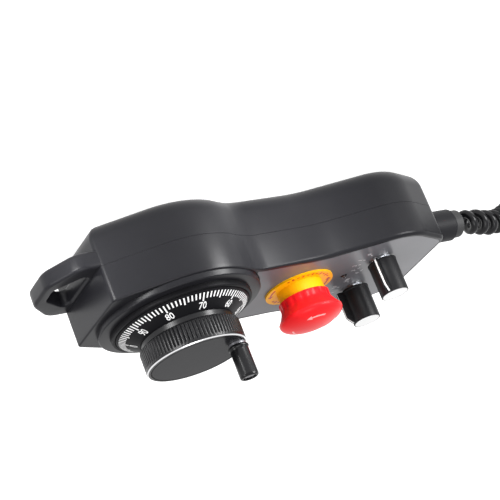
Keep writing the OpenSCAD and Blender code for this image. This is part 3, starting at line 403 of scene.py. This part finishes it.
# %% Finishes of what the hand touches
finishes.update({
    "dial_black": plastic("dial_black", (0.005, 0.005, 0.006), (0.009, 0.009, 0.010), 0.42, 0.1,
                          1800, 60, 0.12, Specular_IOR_Level=0.05),
    "wheel_black": plastic("wheel_black", (0.005, 0.005, 0.006), (0.008, 0.008, 0.009), 0.3, 0.1,
                           2000, 80, 0.08, Specular_IOR_Level=0.22),
    "face_gloss": plastic("face_gloss", (0.010, 0.010, 0.012), (0.016, 0.016, 0.018), 0.24, 0.06,
                          1200, 30, 0.02, Specular_IOR_Level=0.04),
    "grip_black": plastic("grip_black", (0.004, 0.004, 0.005), (0.007, 0.007, 0.008), 0.22, 0.06,
                          1600, 90, 0.04, Specular_IOR_Level=0.2),
    "knob_black": plastic("knob_black", (0.005, 0.005, 0.006), (0.008, 0.008, 0.009), 0.42, 0.1,
                          2200, 120, 0.12, Specular_IOR_Level=0.15),
    "cap_white": plastic("cap_white", (0.86, 0.86, 0.86), (0.9, 0.9, 0.9), 0.35, 0.05, 2000, 90, 0.04),
    "stop_yellow": plastic("stop_yellow", (0.95, 0.45, 0.002), (1.0, 0.5, 0.003), 0.4, 0.08,
                           1500, 60, 0.08, Specular_IOR_Level=0.15),
    "stop_red": plastic("stop_red", (0.80, 0.010, 0.014), (0.88, 0.014, 0.018), 0.3, 0.08,
                        1500, 50, 0.06, Specular_IOR_Level=0.12),
    "lamp_red": plastic("lamp_red", (0.014, 0.004, 0.004), (0.02, 0.005, 0.005), 0.15, 0.04, 900, 90, 0.02)})
print(len(finishes), "finishes so far")

# %% Finishes of the metal pieces
finishes.update({
    "screw_steel": metal("screw_steel", (0.62, 0.62, 0.64), (0.42, 0.42, 0.44), 0.3),
    "can_metal": metal("can_metal", (0.32, 0.32, 0.34), (0.24, 0.24, 0.26), 0.38),
    "bearing_steel": metal("bearing_steel", (0.7, 0.7, 0.72), (0.55, 0.55, 0.57), 0.2),
    "disc_glass": metal("disc_glass", (0.55, 0.6, 0.63), (0.45, 0.5, 0.53), 0.15),
    "nut_grey": metal("nut_grey", (0.35, 0.36, 0.38), (0.26, 0.27, 0.28), 0.4),
    "nut_chrome": metal("nut_chrome", (0.4, 0.41, 0.43), (0.3, 0.31, 0.33), 0.3, 700, 0.08, 0.02),
    "plug_metal": metal("plug_metal", (0.16, 0.165, 0.175), (0.11, 0.115, 0.12), 0.35),
    "plug_chrome": metal("plug_chrome", (0.78, 0.79, 0.82), (0.62, 0.63, 0.66), 0.18)})
bright_edge_finish = metal("bright_edge", (0.92, 0.92, 0.93), (0.86, 0.86, 0.88), 0.14, 900, 0.05, 0.01)
print_white = plastic("print_white", (0.82, 0.82, 0.82), (0.88, 0.88, 0.88), 0.5)
print_grey = plastic("print_grey", (0.55, 0.55, 0.57), (0.62, 0.62, 0.64), 0.5)
# A paler copy of the stop red for the twist arrows, which are moulded in the same red: painted highlight
# where their raised edges catch the light.
arrow_painted_highlight = plastic("arrow_painted_highlight", (0.9, 0.3, 0.3), (0.95, 0.36, 0.36), 0.35)
mark_red = plastic("mark_red", (0.42, 0.035, 0.006), (0.5, 0.05, 0.008), 0.45)
slot_of = {piece["node"]: piece["material_slot"] for piece in frame["record"]["subparts"]}
for node, piece in solids.items():
    finish = finishes[slot_of[node]]
    for place in piece.material_slots:
        place.material = finish
    if not piece.material_slots:
        piece.data.materials.append(finish)
cable_curve.materials.append(finishes["cord_black"])
print("every solid has its finish")

# %% [markdown]
# The two shells are injection moulded halves. Their outline is a round head round the dial, a waist
# and a broad grip end, all joined by arcs. It could be drawn once as a spline, but arcs between
# straights are how the mould is cut, and they let every ring of the shell share one list of corners.

# %% Outlines of rounded corners
import bmesh
from mathutils.geometry import tessellate_polygon

HEAD_REACH, TAIL_REACH, FRONT, PARTING, WALL = 53.2, 172.6, 47.7, 26.0, 3.0
BACK_TOP, EDGE_BREAK = PARTING - 0.03, 0.12
EDGE_CHANGE_START, EDGE_CHANGE_LENGTH = 30, 60
NEAR_HALF = [(HEAD_REACH, 30.0165, 3.5), (56.7073 * cos(radians(91.5)), 56.7073 * sin(radians(91.5)), 50.3),
             (-37.9043, 36.5, 25), (-83, 36.5, 60), (-129.6506, 49, 36), (-143.8, 49, 36),
             (-TAIL_REACH, 33.2977, 10)]


def mirrored(corners):
    """The same corners on the other side, in the order that closes the outline."""
    return [(x, -y, r) for x, y, r in reversed(corners)]


def turned(arm, angle):
    """A flat vector turned by an angle."""
    return Vector((arm.x * cos(angle) - arm.y * sin(angle), arm.x * sin(angle) + arm.y * cos(angle)))


def rounded_outline(corners, inset=0.0, fineness=2.5, straights=5):
    """A closed outline round corners (x, y, radius), drawn in by inset. Every inset has as many points."""
    count = len(corners)
    tips = [Vector(corner[:2]) for corner in corners]
    along = [(tips[(i + 1) % count] - tips[i]).normalized() for i in range(count)]
    left = [Vector((-u.y, u.x)) for u in along]
    arcs = []
    for i, corner in enumerate(corners):
        before, after = along[i - 1], along[i]
        tip = tips[i] + (left[i - 1] + left[i]) * inset / (1 + left[i - 1].dot(left[i]))
        turn = atan2(before.x * after.y - before.y * after.x, before.dot(after))
        radius = max(corner[2] - inset, min(corner[2], 2.0)) if turn > 0 else corner[2] + inset
        start = tip - before * radius * tan(abs(turn) / 2)
        centre = start + left[i - 1] * copysign(radius, turn)
        steps = ceil(degrees(abs(turn)) / fineness)
        arcs.append([centre + turned(start - centre, turn * k / steps) for k in range(steps + 1)])
    outline = []
    for i, arc in enumerate(arcs):
        onward = arcs[(i + 1) % count][0]
        outline += arc + [arc[-1].lerp(onward, k / straights) for k in range(1, straights)]
    return outline


HOUSING = NEAR_HALF + mirrored(NEAR_HALF)


def body_ring(head, tail=None):
    """A ring round the housing. Its inset and height may change from the head to the grip end."""
    tail = tail or head
    ring = []
    for a, b in zip(rounded_outline(HOUSING, head[0]), rounded_outline(HOUSING, tail[0])):
        share = min(1, max(0, (-a.x - EDGE_CHANGE_START) / EDGE_CHANGE_LENGTH))
        share = share * share * (3 - 2 * share)
        place = a.lerp(b, share)
        ring.append((place.x, place.y, head[1] + (tail[1] - head[1]) * share))
    return ring


print("housing outline of", len(body_ring((0, 0))), "points")

# %% Builders that the moulded pieces share
def skinned(rings, loop=False):
    """Points and faces of a skin over rings of equal length. loop joins the last ring to the first."""
    n = len(rings[0])
    pairs = [(k, (k + 1) % len(rings)) for k in range(len(rings) - (0 if loop else 1))]
    faces = [(lo * n + i, lo * n + (i + 1) % n, up * n + (i + 1) % n, up * n + i)
             for lo, up in pairs for i in range(n)]
    return [p for ring in rings for p in ring], faces


def filled(outer, *holes):
    """Points and faces of a flat face with holes."""
    loops = [[Vector(p) for p in loop] for loop in (outer, *holes)]
    return [p for loop in loops for p in loop], tessellate_polygon(loops)


def circle(radius, z, middle=(0.0, 0.0), steps=96):
    """A ring of points round a vertical axis."""
    return [(middle[0] + radius * cos(2 * pi * k / steps), middle[1] + radius * sin(2 * pi * k / steps), z)
            for k in range(steps)]


def lathe(profile, middle=(0.0, 0.0), steps=144):
    """A closed profile of (radius, height) turned round a vertical axis."""
    return skinned([circle(r, z, middle, steps) for r, z in profile], loop=True)


def plate(outline, holes, low, high):
    """A flat plate between two heights, with round holes of (radius, middle)."""
    parts = [skinned([[(x, y, z) for x, y in outline] for z in (low, high)])]
    for radius, middle in holes:
        parts.append(skinned([circle(radius, z, middle) for z in (low, high)]))
    for z in (low, high):
        parts.append(filled([(x, y, z) for x, y in outline], *[circle(r, z, m) for r, m in holes]))
    return parts


def piece(name, parts, finish, body, *replaced, sharp=35, slot=None):
    """One object from several lists of points in millimetres and faces, which rides on a body."""
    mesh = bmesh.new()
    for points, faces in parts:
        corners = [mesh.verts.new(Vector(p) * MM) for p in points]
        for face in faces:
            mesh.faces.new([corners[k] for k in face])
    bmesh.ops.remove_doubles(mesh, verts=mesh.verts, dist=0.0000015)
    bmesh.ops.recalc_face_normals(mesh, faces=mesh.faces)
    data = bpy.data.meshes.new(name)
    mesh.to_mesh(data)
    mesh.free()
    data.shade_smooth()
    data.set_sharp_from_angle(angle=radians(sharp))
    data.materials.append(finish)
    made = bpy.data.objects.new(name, data)
    bpy.context.scene.collection.objects.link(made)
    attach(made, body)
    if replaced:
        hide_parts(*replaced)
    print(name, len(data.polygons), "faces")
    return made


# %% [markdown]
# The back shell is a tray with a deep rounded edge, which is what the palm feels. Its edge is rounder
# at the grip end than at the head. Six screws go in from the back and sit at the foot of pockets.

# %% Back shell
BACK_EDGE_HEAD, BACK_EDGE_GRIP = 10.5, 12.0
POCKET_R, POCKET_DEPTH = 3.1, 7


def back_arc(a, low=0.0, inset=0.0):
    """The two (inset, height) pairs of the back edge at an angle, at the head and at the grip end."""
    return [(inset + (r - inset) * (1 - cos(a)), low + (r - inset) * (1 - sin(a)))
            for r in (BACK_EDGE_HEAD, BACK_EDGE_GRIP)]


HEAD_SCREW_R, HEAD_SCREW_ANGLE = 34.9, radians(30)
HEAD_SCREW = (HEAD_SCREW_R * cos(HEAD_SCREW_ANGLE), HEAD_SCREW_R * sin(HEAD_SCREW_ANGLE))
SCREWS = [(x, s * y) for x, y in (HEAD_SCREW, (-58, 20), (-153.6, 21.2977)) for s in (1, -1)]
outside = [body_ring((12, 0), (13.5, 0))]
outside += [body_ring(*back_arc(radians(a))) for a in range(90, -1, -6)]
outside += [body_ring((0, PARTING / 2)), body_ring((0, BACK_TOP - EDGE_BREAK)),
            body_ring((EDGE_BREAK, BACK_TOP)), body_ring((WALL, BACK_TOP))]
inside = [body_ring(*back_arc(radians(a), WALL, WALL)) for a in range(0, 91, 15)]
pockets = [circle(POCKET_R, 0, middle, 48) for middle in SCREWS]
back_parts = [skinned(outside + inside), filled(outside[0], *pockets), filled(inside[-1])]
for middle in SCREWS:
    foot = circle(POCKET_R, POCKET_DEPTH, middle, 48)
    back_parts += [skinned([circle(POCKET_R, 0, middle, 48), foot]), filled(foot)]
piece("moulded_back_shell", back_parts, finishes["housing"], "housing", "back_shell", slot="housing")

# %% [markdown]
# The front shell has a thin wall, a small rounded edge and a recess for the panel plate. Round the
# dial stands a low boss. They are made from the same rings, then a deck, a head face and a turned boss.

# %% Front shell
def front_arc(a):
    """The two (inset, height) pairs of the front edge at an angle, at the head and at the grip end."""
    return [(r * (1 - cos(a)), FRONT - r * (1 - sin(a))) for r in (1.0, 2.4)]


rim = [body_ring((WALL, PARTING)), body_ring((EDGE_BREAK, PARTING)), body_ring((0, PARTING + EDGE_BREAK)),
       body_ring((0, FRONT - 3.2))]
rim += [body_ring(*front_arc(radians(a))) for a in range(0, 91, 10)]
rim += [body_ring((2.5, FRONT)), body_ring((2.85, FRONT)), body_ring((WALL, FRONT - 0.15))]


def split_at(outline, x):
    """The outline's two parts, on the head's side and on the grip's side of a line across the housing."""
    head_first, grip, head_last = [], [], []
    target = head_first
    for here, onward in zip(outline, outline[1:] + outline[:1]):
        target.append(here)
        if (here.x - x) * (onward.x - x) < 0:
            crossing = here.lerp(onward, (x - here.x) / (onward.x - here.x))
            target.append(crossing)
            target = grip if target is head_first else head_last
            target.append(crossing.copy())
    return head_last + head_first, grip


ENCODER = (30.3, (0.0, 0.0))
STOP, LAMP = (-82.0, 0.0), (-113.0, -3.0)
KNOBS = {"axis": (-131.5, -18.6), "range": (-131.5, 18.6)}
fittings = [(11.3, STOP), (5.0, KNOBS["axis"]), (5.0, KNOBS["range"]), (2.1, LAMP)]
deck = rounded_outline(HOUSING, 2.95)
head_face, _ = split_at(rounded_outline(HOUSING, 2.8), -37.5)
BOSS_R, BOSS_TOP, BOSS_EDGE = 49, 51.3, 0.8
boss = [(ENCODER[0], 46.0), (BOSS_R, 46.0), (BOSS_R, BOSS_TOP - BOSS_EDGE)]
boss += [(BOSS_R - BOSS_EDGE * (1 - sin(radians(a))), BOSS_TOP - BOSS_EDGE * (1 - cos(radians(a))))
         for a in (60, 30, 0)]
boss += [(ENCODER[0], BOSS_TOP)]
piece("moulded_front_shell",
      [skinned(rim, loop=True), *plate(deck, [ENCODER] + fittings, 44.7, 46.4),
       *plate(head_face, [ENCODER], 46.45, FRONT - 0.02), lathe(boss)],
      finishes["housing"], "housing", "front_shell", slot="housing")

# %% Panel plate
PANEL_START, PANEL_BOSS_R = -37.65, 49.6
_, grip_face = split_at(rounded_outline(HOUSING, 3.15), PANEL_START)
first, last = grip_face[0], grip_face[-1]
start, stop = atan2(last.y, last.x) % (2 * pi), atan2(first.y, first.x) % (2 * pi)
bearings = [start + (stop - start) * k / 60 for k in range(61)]
edge_round_boss = [Vector((PANEL_BOSS_R * cos(a), PANEL_BOSS_R * sin(a))) for a in bearings]
edge_round_boss = [p for p in edge_round_boss if p.x < PANEL_START]
panel = piece("inlaid_panel_plate", plate(grip_face + edge_round_boss, fittings, 46.5, FRONT),
              finishes["panel"], "housing", "panel_plate", slot="panel")
rounding = panel.modifiers.new("broken_edge", "BEVEL")
rounding.width, rounding.segments, rounding.angle_limit = 0.18 * MM, 2, radians(50)

# %% [markdown]
# The loop at the head end hangs the pendant on a hook. It is moulded with the back shell, as a ring
# with edges rounded for the hook. It could be bent from a round bar, but the real one is flat.

# %% Hang loop
LOOP_HALF = [(79.6, 12.423, 14), (65.344, 30.3, 12), (HEAD_REACH - 1.6, 30.3, 1)]
HOLE_HALF = [(72.8, 5.95, 4), (59.998, 16.8, 4), (55.5, 17.5, 3)]
LOOP_LOW, LOOP_HIGH, LOOP_EDGE = 16.0, 26.2, 2.0


def loop_rings(corners, side):
    """Rings up the edge of the loop or, with side -1, of its hole, both with rounded edges."""
    quarter = [radians(a) for a in range(0, 91, 15)]
    rings = [(side * LOOP_EDGE * (1 - sin(a)), LOOP_LOW + LOOP_EDGE * (1 - cos(a))) for a in quarter]
    rings += [(side * LOOP_EDGE * (1 - cos(a)), LOOP_HIGH - LOOP_EDGE * (1 - sin(a))) for a in quarter]
    return [[(p.x, p.y, z) for p in rounded_outline(corners + mirrored(corners), inset, 5, 2)]
            for inset, z in rings]


loop_edge, hole_edge = loop_rings(LOOP_HALF, 1), loop_rings(HOLE_HALF, -1)
piece("moulded_hang_loop",
      [skinned(loop_edge), skinned(hole_edge), filled(loop_edge[0], hole_edge[0]),
       filled(loop_edge[-1], hole_edge[-1])],
      finishes["housing"], "housing", "hang_loop", slot="housing")

# %% [markdown]
# The dial is engraved and filled with white: a hundred ticks, longer at each fifth and tenth, and a
# number at each tenth. Both could be painted on with a texture, but real marks have crisp edges at any
# distance, so each is a thin raised piece laid on the cone.

# %% Ticks and numbers on the dial
RIM_R, RIM_Z, CONE_SLOPE = 39.8, 55.0, 6.8 / 11.6
EIGHTY, STEP = -49.6, 3.6
cone_up = Vector((CONE_SLOPE, 1)).normalized()


def on_cone(radius, angle, lift):
    """A point on the dial's cone at a radius and an angle, lifted off it by lift."""
    r, z = radius + cone_up.x * lift, RIM_Z + (RIM_R - radius) * CONE_SLOPE + cone_up.y * lift
    return (r * cos(angle), r * sin(angle), z)


def raised(footprint, at, low=-0.05, high=0.06):
    """A thin closed piece over a footprint of (across, outward) points, which at() puts in place."""
    n = len(footprint)
    points = [at(*p, low) for p in footprint] + [at(*p, high) for p in footprint]
    faces = [tuple(range(n)), tuple(range(n, 2 * n))]
    faces += [(i, (i + 1) % n, n + (i + 1) % n, n + i) for i in range(n)]
    return points, faces


def digits(text, height, squeeze=0.85):
    """Footprint triangles of a number, centred, standing on 0 and of the given height."""
    curve = bpy.data.curves.new("digits", "FONT")
    curve.body, curve.align_x, curve.extrude, curve.offset = text, "CENTER", 0.02, 0.006
    curve.resolution_u = 3
    holder = bpy.data.objects.new("digits", curve)
    bpy.context.scene.collection.objects.link(holder)
    bpy.context.view_layer.update()
    shape = holder.evaluated_get(bpy.context.evaluated_depsgraph_get()).to_mesh()
    foot, top = min(v.co.y for v in shape.vertices), max(v.co.y for v in shape.vertices)
    grow = height / (top - foot)
    points = [(v.co.x * grow * squeeze, (v.co.y - foot) * grow, 1 if v.co.z > 0 else 0)
              for v in shape.vertices]
    faces = [tuple(p.vertices) for p in shape.polygons]
    bpy.data.objects.remove(holder)
    bpy.data.curves.remove(curve)
    return points, faces


TICK_R, TICK_HALF, DIGIT_R, DIGIT_HEIGHT = 38.8, 0.42, 29.2, 4.2
marks = []
for tick in range(100):
    angle = radians(EIGHTY + STEP * tick)
    inner = TICK_R - (5.0 if tick % 10 == 0 else 4.3 if tick % 5 == 0 else 3.4)
    marks.append(raised([(-TICK_HALF, TICK_R), (TICK_HALF, TICK_R), (TICK_HALF, inner), (-TICK_HALF, inner)],
                        lambda across, r, lift, angle=angle: on_cone(r, angle + across / r, lift)))
for tens in range(10):
    middle = radians(EIGHTY + STEP * 10 * tens)
    points, faces = digits(str((80 + 10 * tens) % 100), DIGIT_HEIGHT)
    marks.append(([on_cone(DIGIT_R + up, middle - across / (DIGIT_R + up), 0.05 if top else -0.05)
                   for across, up, top in points], faces))
piece("dial_marks", marks, print_white, "handwheel")

# %% [markdown]
# The handwheel is turned and then fluted with eighty-four fine grooves for the fingers. A cylinder
# with a striped texture would look smooth at its edge, so each groove is cut into the rings here. The
# bright chamfer at the top is the bare metal that a last cut leaves, kept as a ring of its own.

# %% Fluted handwheel
FLUTES, WHEEL_R = 84, 30.0
GROOVE = (1, 0.45, 0.14, 0.03, 0, 0.03, 0.14, 0.45)


def fluted_ring(radius, z, depth=0.0):
    """A ring of the wheel. Its grooves go in by depth."""
    count = FLUTES * len(GROOVE)
    ring = []
    for k in range(count):
        r, a = radius - depth * GROOVE[k % len(GROOVE)], 2 * pi * k / count
        ring.append((r * cos(a), r * sin(a), z))
    return ring


wheel_under = [(4.02, 54.3), (12, 54.3), (12, 69.1), (24.1, 69.1), (24.1, 61.82), (27.6, 61.82),
               (27.6, 64.8), (27.9, 65.0), (28.9, 65.7)]
wheel_flutes = [(29.3, 65.8, 0.05), (29.8, 66.0, 0.55), (WHEEL_R, 66.4, 0.7), (WHEEL_R, 76.5, 0.7),
                (WHEEL_R, 76.85, 0.05)]
wheel_top = [(WHEEL_R, 78.3), (29.8, 78.5), (29.6, 78.36), (29.02, 78.94), (29.16, 79.14), (29.0, 79.3),
             (28.0, 79.3), (27.8, 79.1), (27.8, 78.1), (10, 78.1), (10, 71.1), (4.02, 71.1)]
wheel_profile = wheel_under + wheel_flutes + wheel_top
piece("fluted_handwheel", [skinned([fluted_ring(*step) for step in wheel_profile], loop=True)],
      finishes["wheel_black"], "handwheel", "handwheel", slot="wheel_black")
chamfer_profile = [(29.82, 78.48), (29.18, 79.12), (28.92, 78.98), (29.58, 78.32)]
piece("wheel_bright_chamfer", [lathe(chamfer_profile, steps=192)], bright_edge_finish, "handwheel")

# %% [markdown]
# The mushroom of the stop button must be hit with the heel of a hand, so it is wide and smooth on top,
# and its skirt has broad flutes to twist it free. It is turned from a profile whose skirt is pressed
# in by a wave, and the arrows on top, which show the way to twist, are raised by a hair. The arrows
# are moulded in the mushroom's red; their paler red is a painted highlight.

# %% Mushroom of the stop button
SKIRT_LOW, SKIRT_FLARE, BRIM = 55.7, 60.3, 67.9
DOME_R, DOME_RISE, SKIRT_FLUTES = 19.8, 6.7, 16


def mushroom_ring(r, z, depth=0.0):
    """A ring of the mushroom. Its sixteen flutes go in by depth."""
    points = []
    for k in range(SKIRT_FLUTES * 12):
        a = 2 * pi * k / (SKIRT_FLUTES * 12)
        wide = r - depth * (0.5 - 0.5 * cos(SKIRT_FLUTES * a)) ** 2
        points.append((STOP[0] + wide * cos(a), STOP[1] + wide * sin(a), z))
    return points


def dome_height(r):
    """Height of the dome over a radius."""
    return BRIM + DOME_RISE * sqrt(max(0.0, 1 - (r / DOME_R) ** 2))


mushroom = [(14.6, 61.7), (14.6, SKIRT_LOW), (15.4, SKIRT_LOW), (15.75, 55.9), (15.9, 56.3, 0.3),
            (15.85, 58.5, 0.45), (15.8, SKIRT_FLARE, 0.45)]
for t in (0.12, 0.25, 0.4, 0.55, 0.7, 0.85, 1.0):
    mushroom.append((15.8 + 4.0 * t ** 1.3, SKIRT_FLARE + 7.0 * t, 0.45 * (1 - t) ** 1.5))
mushroom += [(DOME_R * cos(radians(a)), BRIM + DOME_RISE * sin(radians(a))) for a in range(4, 89, 4)]
rings = [mushroom_ring(*step) for step in mushroom]
piece("mushroom_button", [skinned(rings), (rings[-1], [tuple(range(len(rings[-1])))]),
                          (rings[0], [tuple(range(len(rings[0])))])],
      finishes["stop_red"], "stop_head", "estop_button", slot="stop_red")


# %% Arrows on the mushroom and marks on its yellow ring
def curved_arrow(angle, sweep, radius, width, at):
    """A curved arrow as strips: its shaft, then its head. at(radius, angle, lift) puts a point in place."""
    shaft = [(k / 12 * 0.72, width / 2) for k in range(13)]
    head = [(0.72, 1.5 * width), (0.81, width), (0.9, width / 2), (0.99, 0.03)]
    parts = []
    for strip in (shaft, head):
        rings = []
        for share, half in strip:
            a = angle + sweep * share
            rings.append([at(radius - half, a, -0.08), at(radius + half, a, -0.08),
                          at(radius + half, a, 0.1), at(radius - half, a, 0.1)])
        points, faces = skinned(rings)
        faces += [(0, 1, 2, 3), tuple(len(points) - 4 + k for k in range(4))]
        parts.append((points, faces))
    return parts


def on_dome(radius, angle, lift):
    """A point over the dome of the mushroom."""
    return (STOP[0] + radius * cos(angle), STOP[1] + radius * sin(angle), dome_height(radius) + lift)


def on_legend(radius, angle, lift):
    """A point over the yellow ring."""
    return (STOP[0] + radius * cos(angle), STOP[1] + radius * sin(angle), 48.9 + 0.5 * lift)


arrows = []
for third in range(3):
    arrows += curved_arrow(radians(-95 + 120 * third), radians(52), 13.2, 1.1, on_dome)
# The twist arrows get the paler red: a painted highlight, not a colour of their own.
piece("twist_arrows", arrows, arrow_painted_highlight, "stop_head")
LEGEND_R, FIRST_MARK, MARK_STEP = 18.4, 42, 9.8
legend = curved_arrow(radians(-8), radians(38), LEGEND_R, 1.2, on_legend)
legend += curved_arrow(radians(172), radians(38), LEGEND_R, 1.2, on_legend)
for k in range(11):
    for side in (-1, 1):
        middle = radians(side * (FIRST_MARK + MARK_STEP * k) + (8 if side > 0 else 0))
        low, high = (17.0, 19.6) if k % 2 else (17.6, 19.0)
        legend.append(raised([(-0.75, low), (0.75, low), (0.75, high), (-0.75, high)],
                             lambda across, r, lift, a=middle: on_legend(r, a + across / r, 2 * lift)))
piece("stop_ring_marks", legend, mark_red, "housing")

# %% [markdown]
# A selector knob is a moulded cone with a ridge for finger and thumb. The ridge stays upright for most
# of its height and then falls to the tip, and one white line runs along its outer edge. It could be
# cut from a block with booleans, but a turned body and a ridge grown into it are simpler to keep clean.

# %% Knobs and their lines
KNOB_LOW, KNOB_HIGH, KNOB_R, KNOB_TIP_R = 49.5, 71.3, 9.0, 8.6
AXIS_POINTER, RANGE_POINTER = -38.0, 12.0
RIDGE_R, RIDGE_HALF = 12.0, 1.7
RIDGE = [(RIDGE_R, 0.1), (RIDGE_R, 16.2), (11.75, 17.1), (8.9, 20.7), (8.3, 21.1)]
KNOB_PROFILE = [(0.01, KNOB_HIGH - 3.9), (3.02, KNOB_HIGH - 3.9), (3.02, 54.1), (7.1, 54.1), (7.1, KNOB_LOW),
                (8.8, KNOB_LOW), (KNOB_R, 49.7), (KNOB_R, 50.7), (8.75, 51.0), (KNOB_TIP_R, 70.9),
                (8.5, 71.2), (8.3, KNOB_HIGH), (7.95, KNOB_HIGH), (7.95, 70.5), (0.01, 70.5)]


def turned_about(knob, pointer):
    """Puts a point (outward, sideways, height over the foot) at a knob that points at an angle."""
    x, y = KNOBS[knob]
    a = radians(pointer)
    return lambda out, side, up: (x + out * cos(a) - side * sin(a), y + out * sin(a) + side * cos(a),
                                  KNOB_LOW + up)


def moulded_knob(knob, pointer, body):
    """A knob with its ridge, and the white line on the ridge's outer edge."""
    at = turned_about(knob, pointer)
    side_shape = [(5.0, 4.7), (7.2, 4.7), (7.2, 0.1)] + RIDGE + [(5.0, 21.1)]
    ridge = skinned([[at(r, side, up) for r, up in side_shape] for side in (-RIDGE_HALF, RIDGE_HALF)])
    count = len(side_shape)
    ridge[1].extend([tuple(range(count)), tuple(range(count, 2 * count))])
    made = piece("moulded_%s_knob" % knob, [lathe(KNOB_PROFILE, KNOBS[knob], 96), ridge],
                 finishes["knob_black"], body, "%s_knob" % knob, slot="knob_black")
    rounding = made.modifiers.new("rounding", "BEVEL")
    rounding.width, rounding.segments, rounding.angle_limit = 0.3 * MM, 2, radians(50)
    line = [[at(r + out, side, up) for out, side in ((-0.12, -0.5), (0.05, -0.5), (0.05, 0.5), (-0.12, 0.5))]
            for r, up in [(RIDGE_R, 0.6)] + RIDGE[1:-1] + [(8.7, 20.85)]]
    points, faces = skinned(line)
    faces += [(0, 1, 2, 3), tuple(len(points) - 4 + k for k in range(4))]
    piece("%s_knob_line" % knob, [(points, faces)], print_white, body)


moulded_knob("axis", AXIS_POINTER, "axis_selector")
moulded_knob("range", RANGE_POINTER, "range_selector")

# %% Scales round the knobs
def panel_number(text, middle, height=2.9):
    """A number printed flat on the panel, upright when the head points up."""
    points, faces = digits(text, height, 0.9)
    return ([(middle[0] + up - height / 2, middle[1] - across, FRONT + (0.03 if top else -0.03))
             for across, up, top in points], faces)


SCALE_R, NUMBER_R = 13.2, 17.6
scale = []
for knob, places in (("axis", [(-38, "0"), (-14, "1"), (10, "2"), (34, "3"), (58, "4")]),
                     ("range", [(-48, "100"), (-18, "10"), (12, "1")])):
    x, y = KNOBS[knob]
    for angle, text in places:
        a = radians(angle)
        scale.append(raised(
            [(-0.3, SCALE_R), (0.3, SCALE_R), (0.3, SCALE_R + 1.8), (-0.3, SCALE_R + 1.8)],
            lambda w, r, lift, a=a, x=x, y=y: (x + r * cos(a) - w * sin(a),
                                               y + r * sin(a) + w * cos(a), FRONT + lift * 0.5)))
        scale.append(panel_number(text, (x + NUMBER_R * cos(a), y + NUMBER_R * sin(a))))
piece("panel_scales", scale, print_grey, "housing")

# %% Bring the scene up to date
bpy.context.view_layer.update()
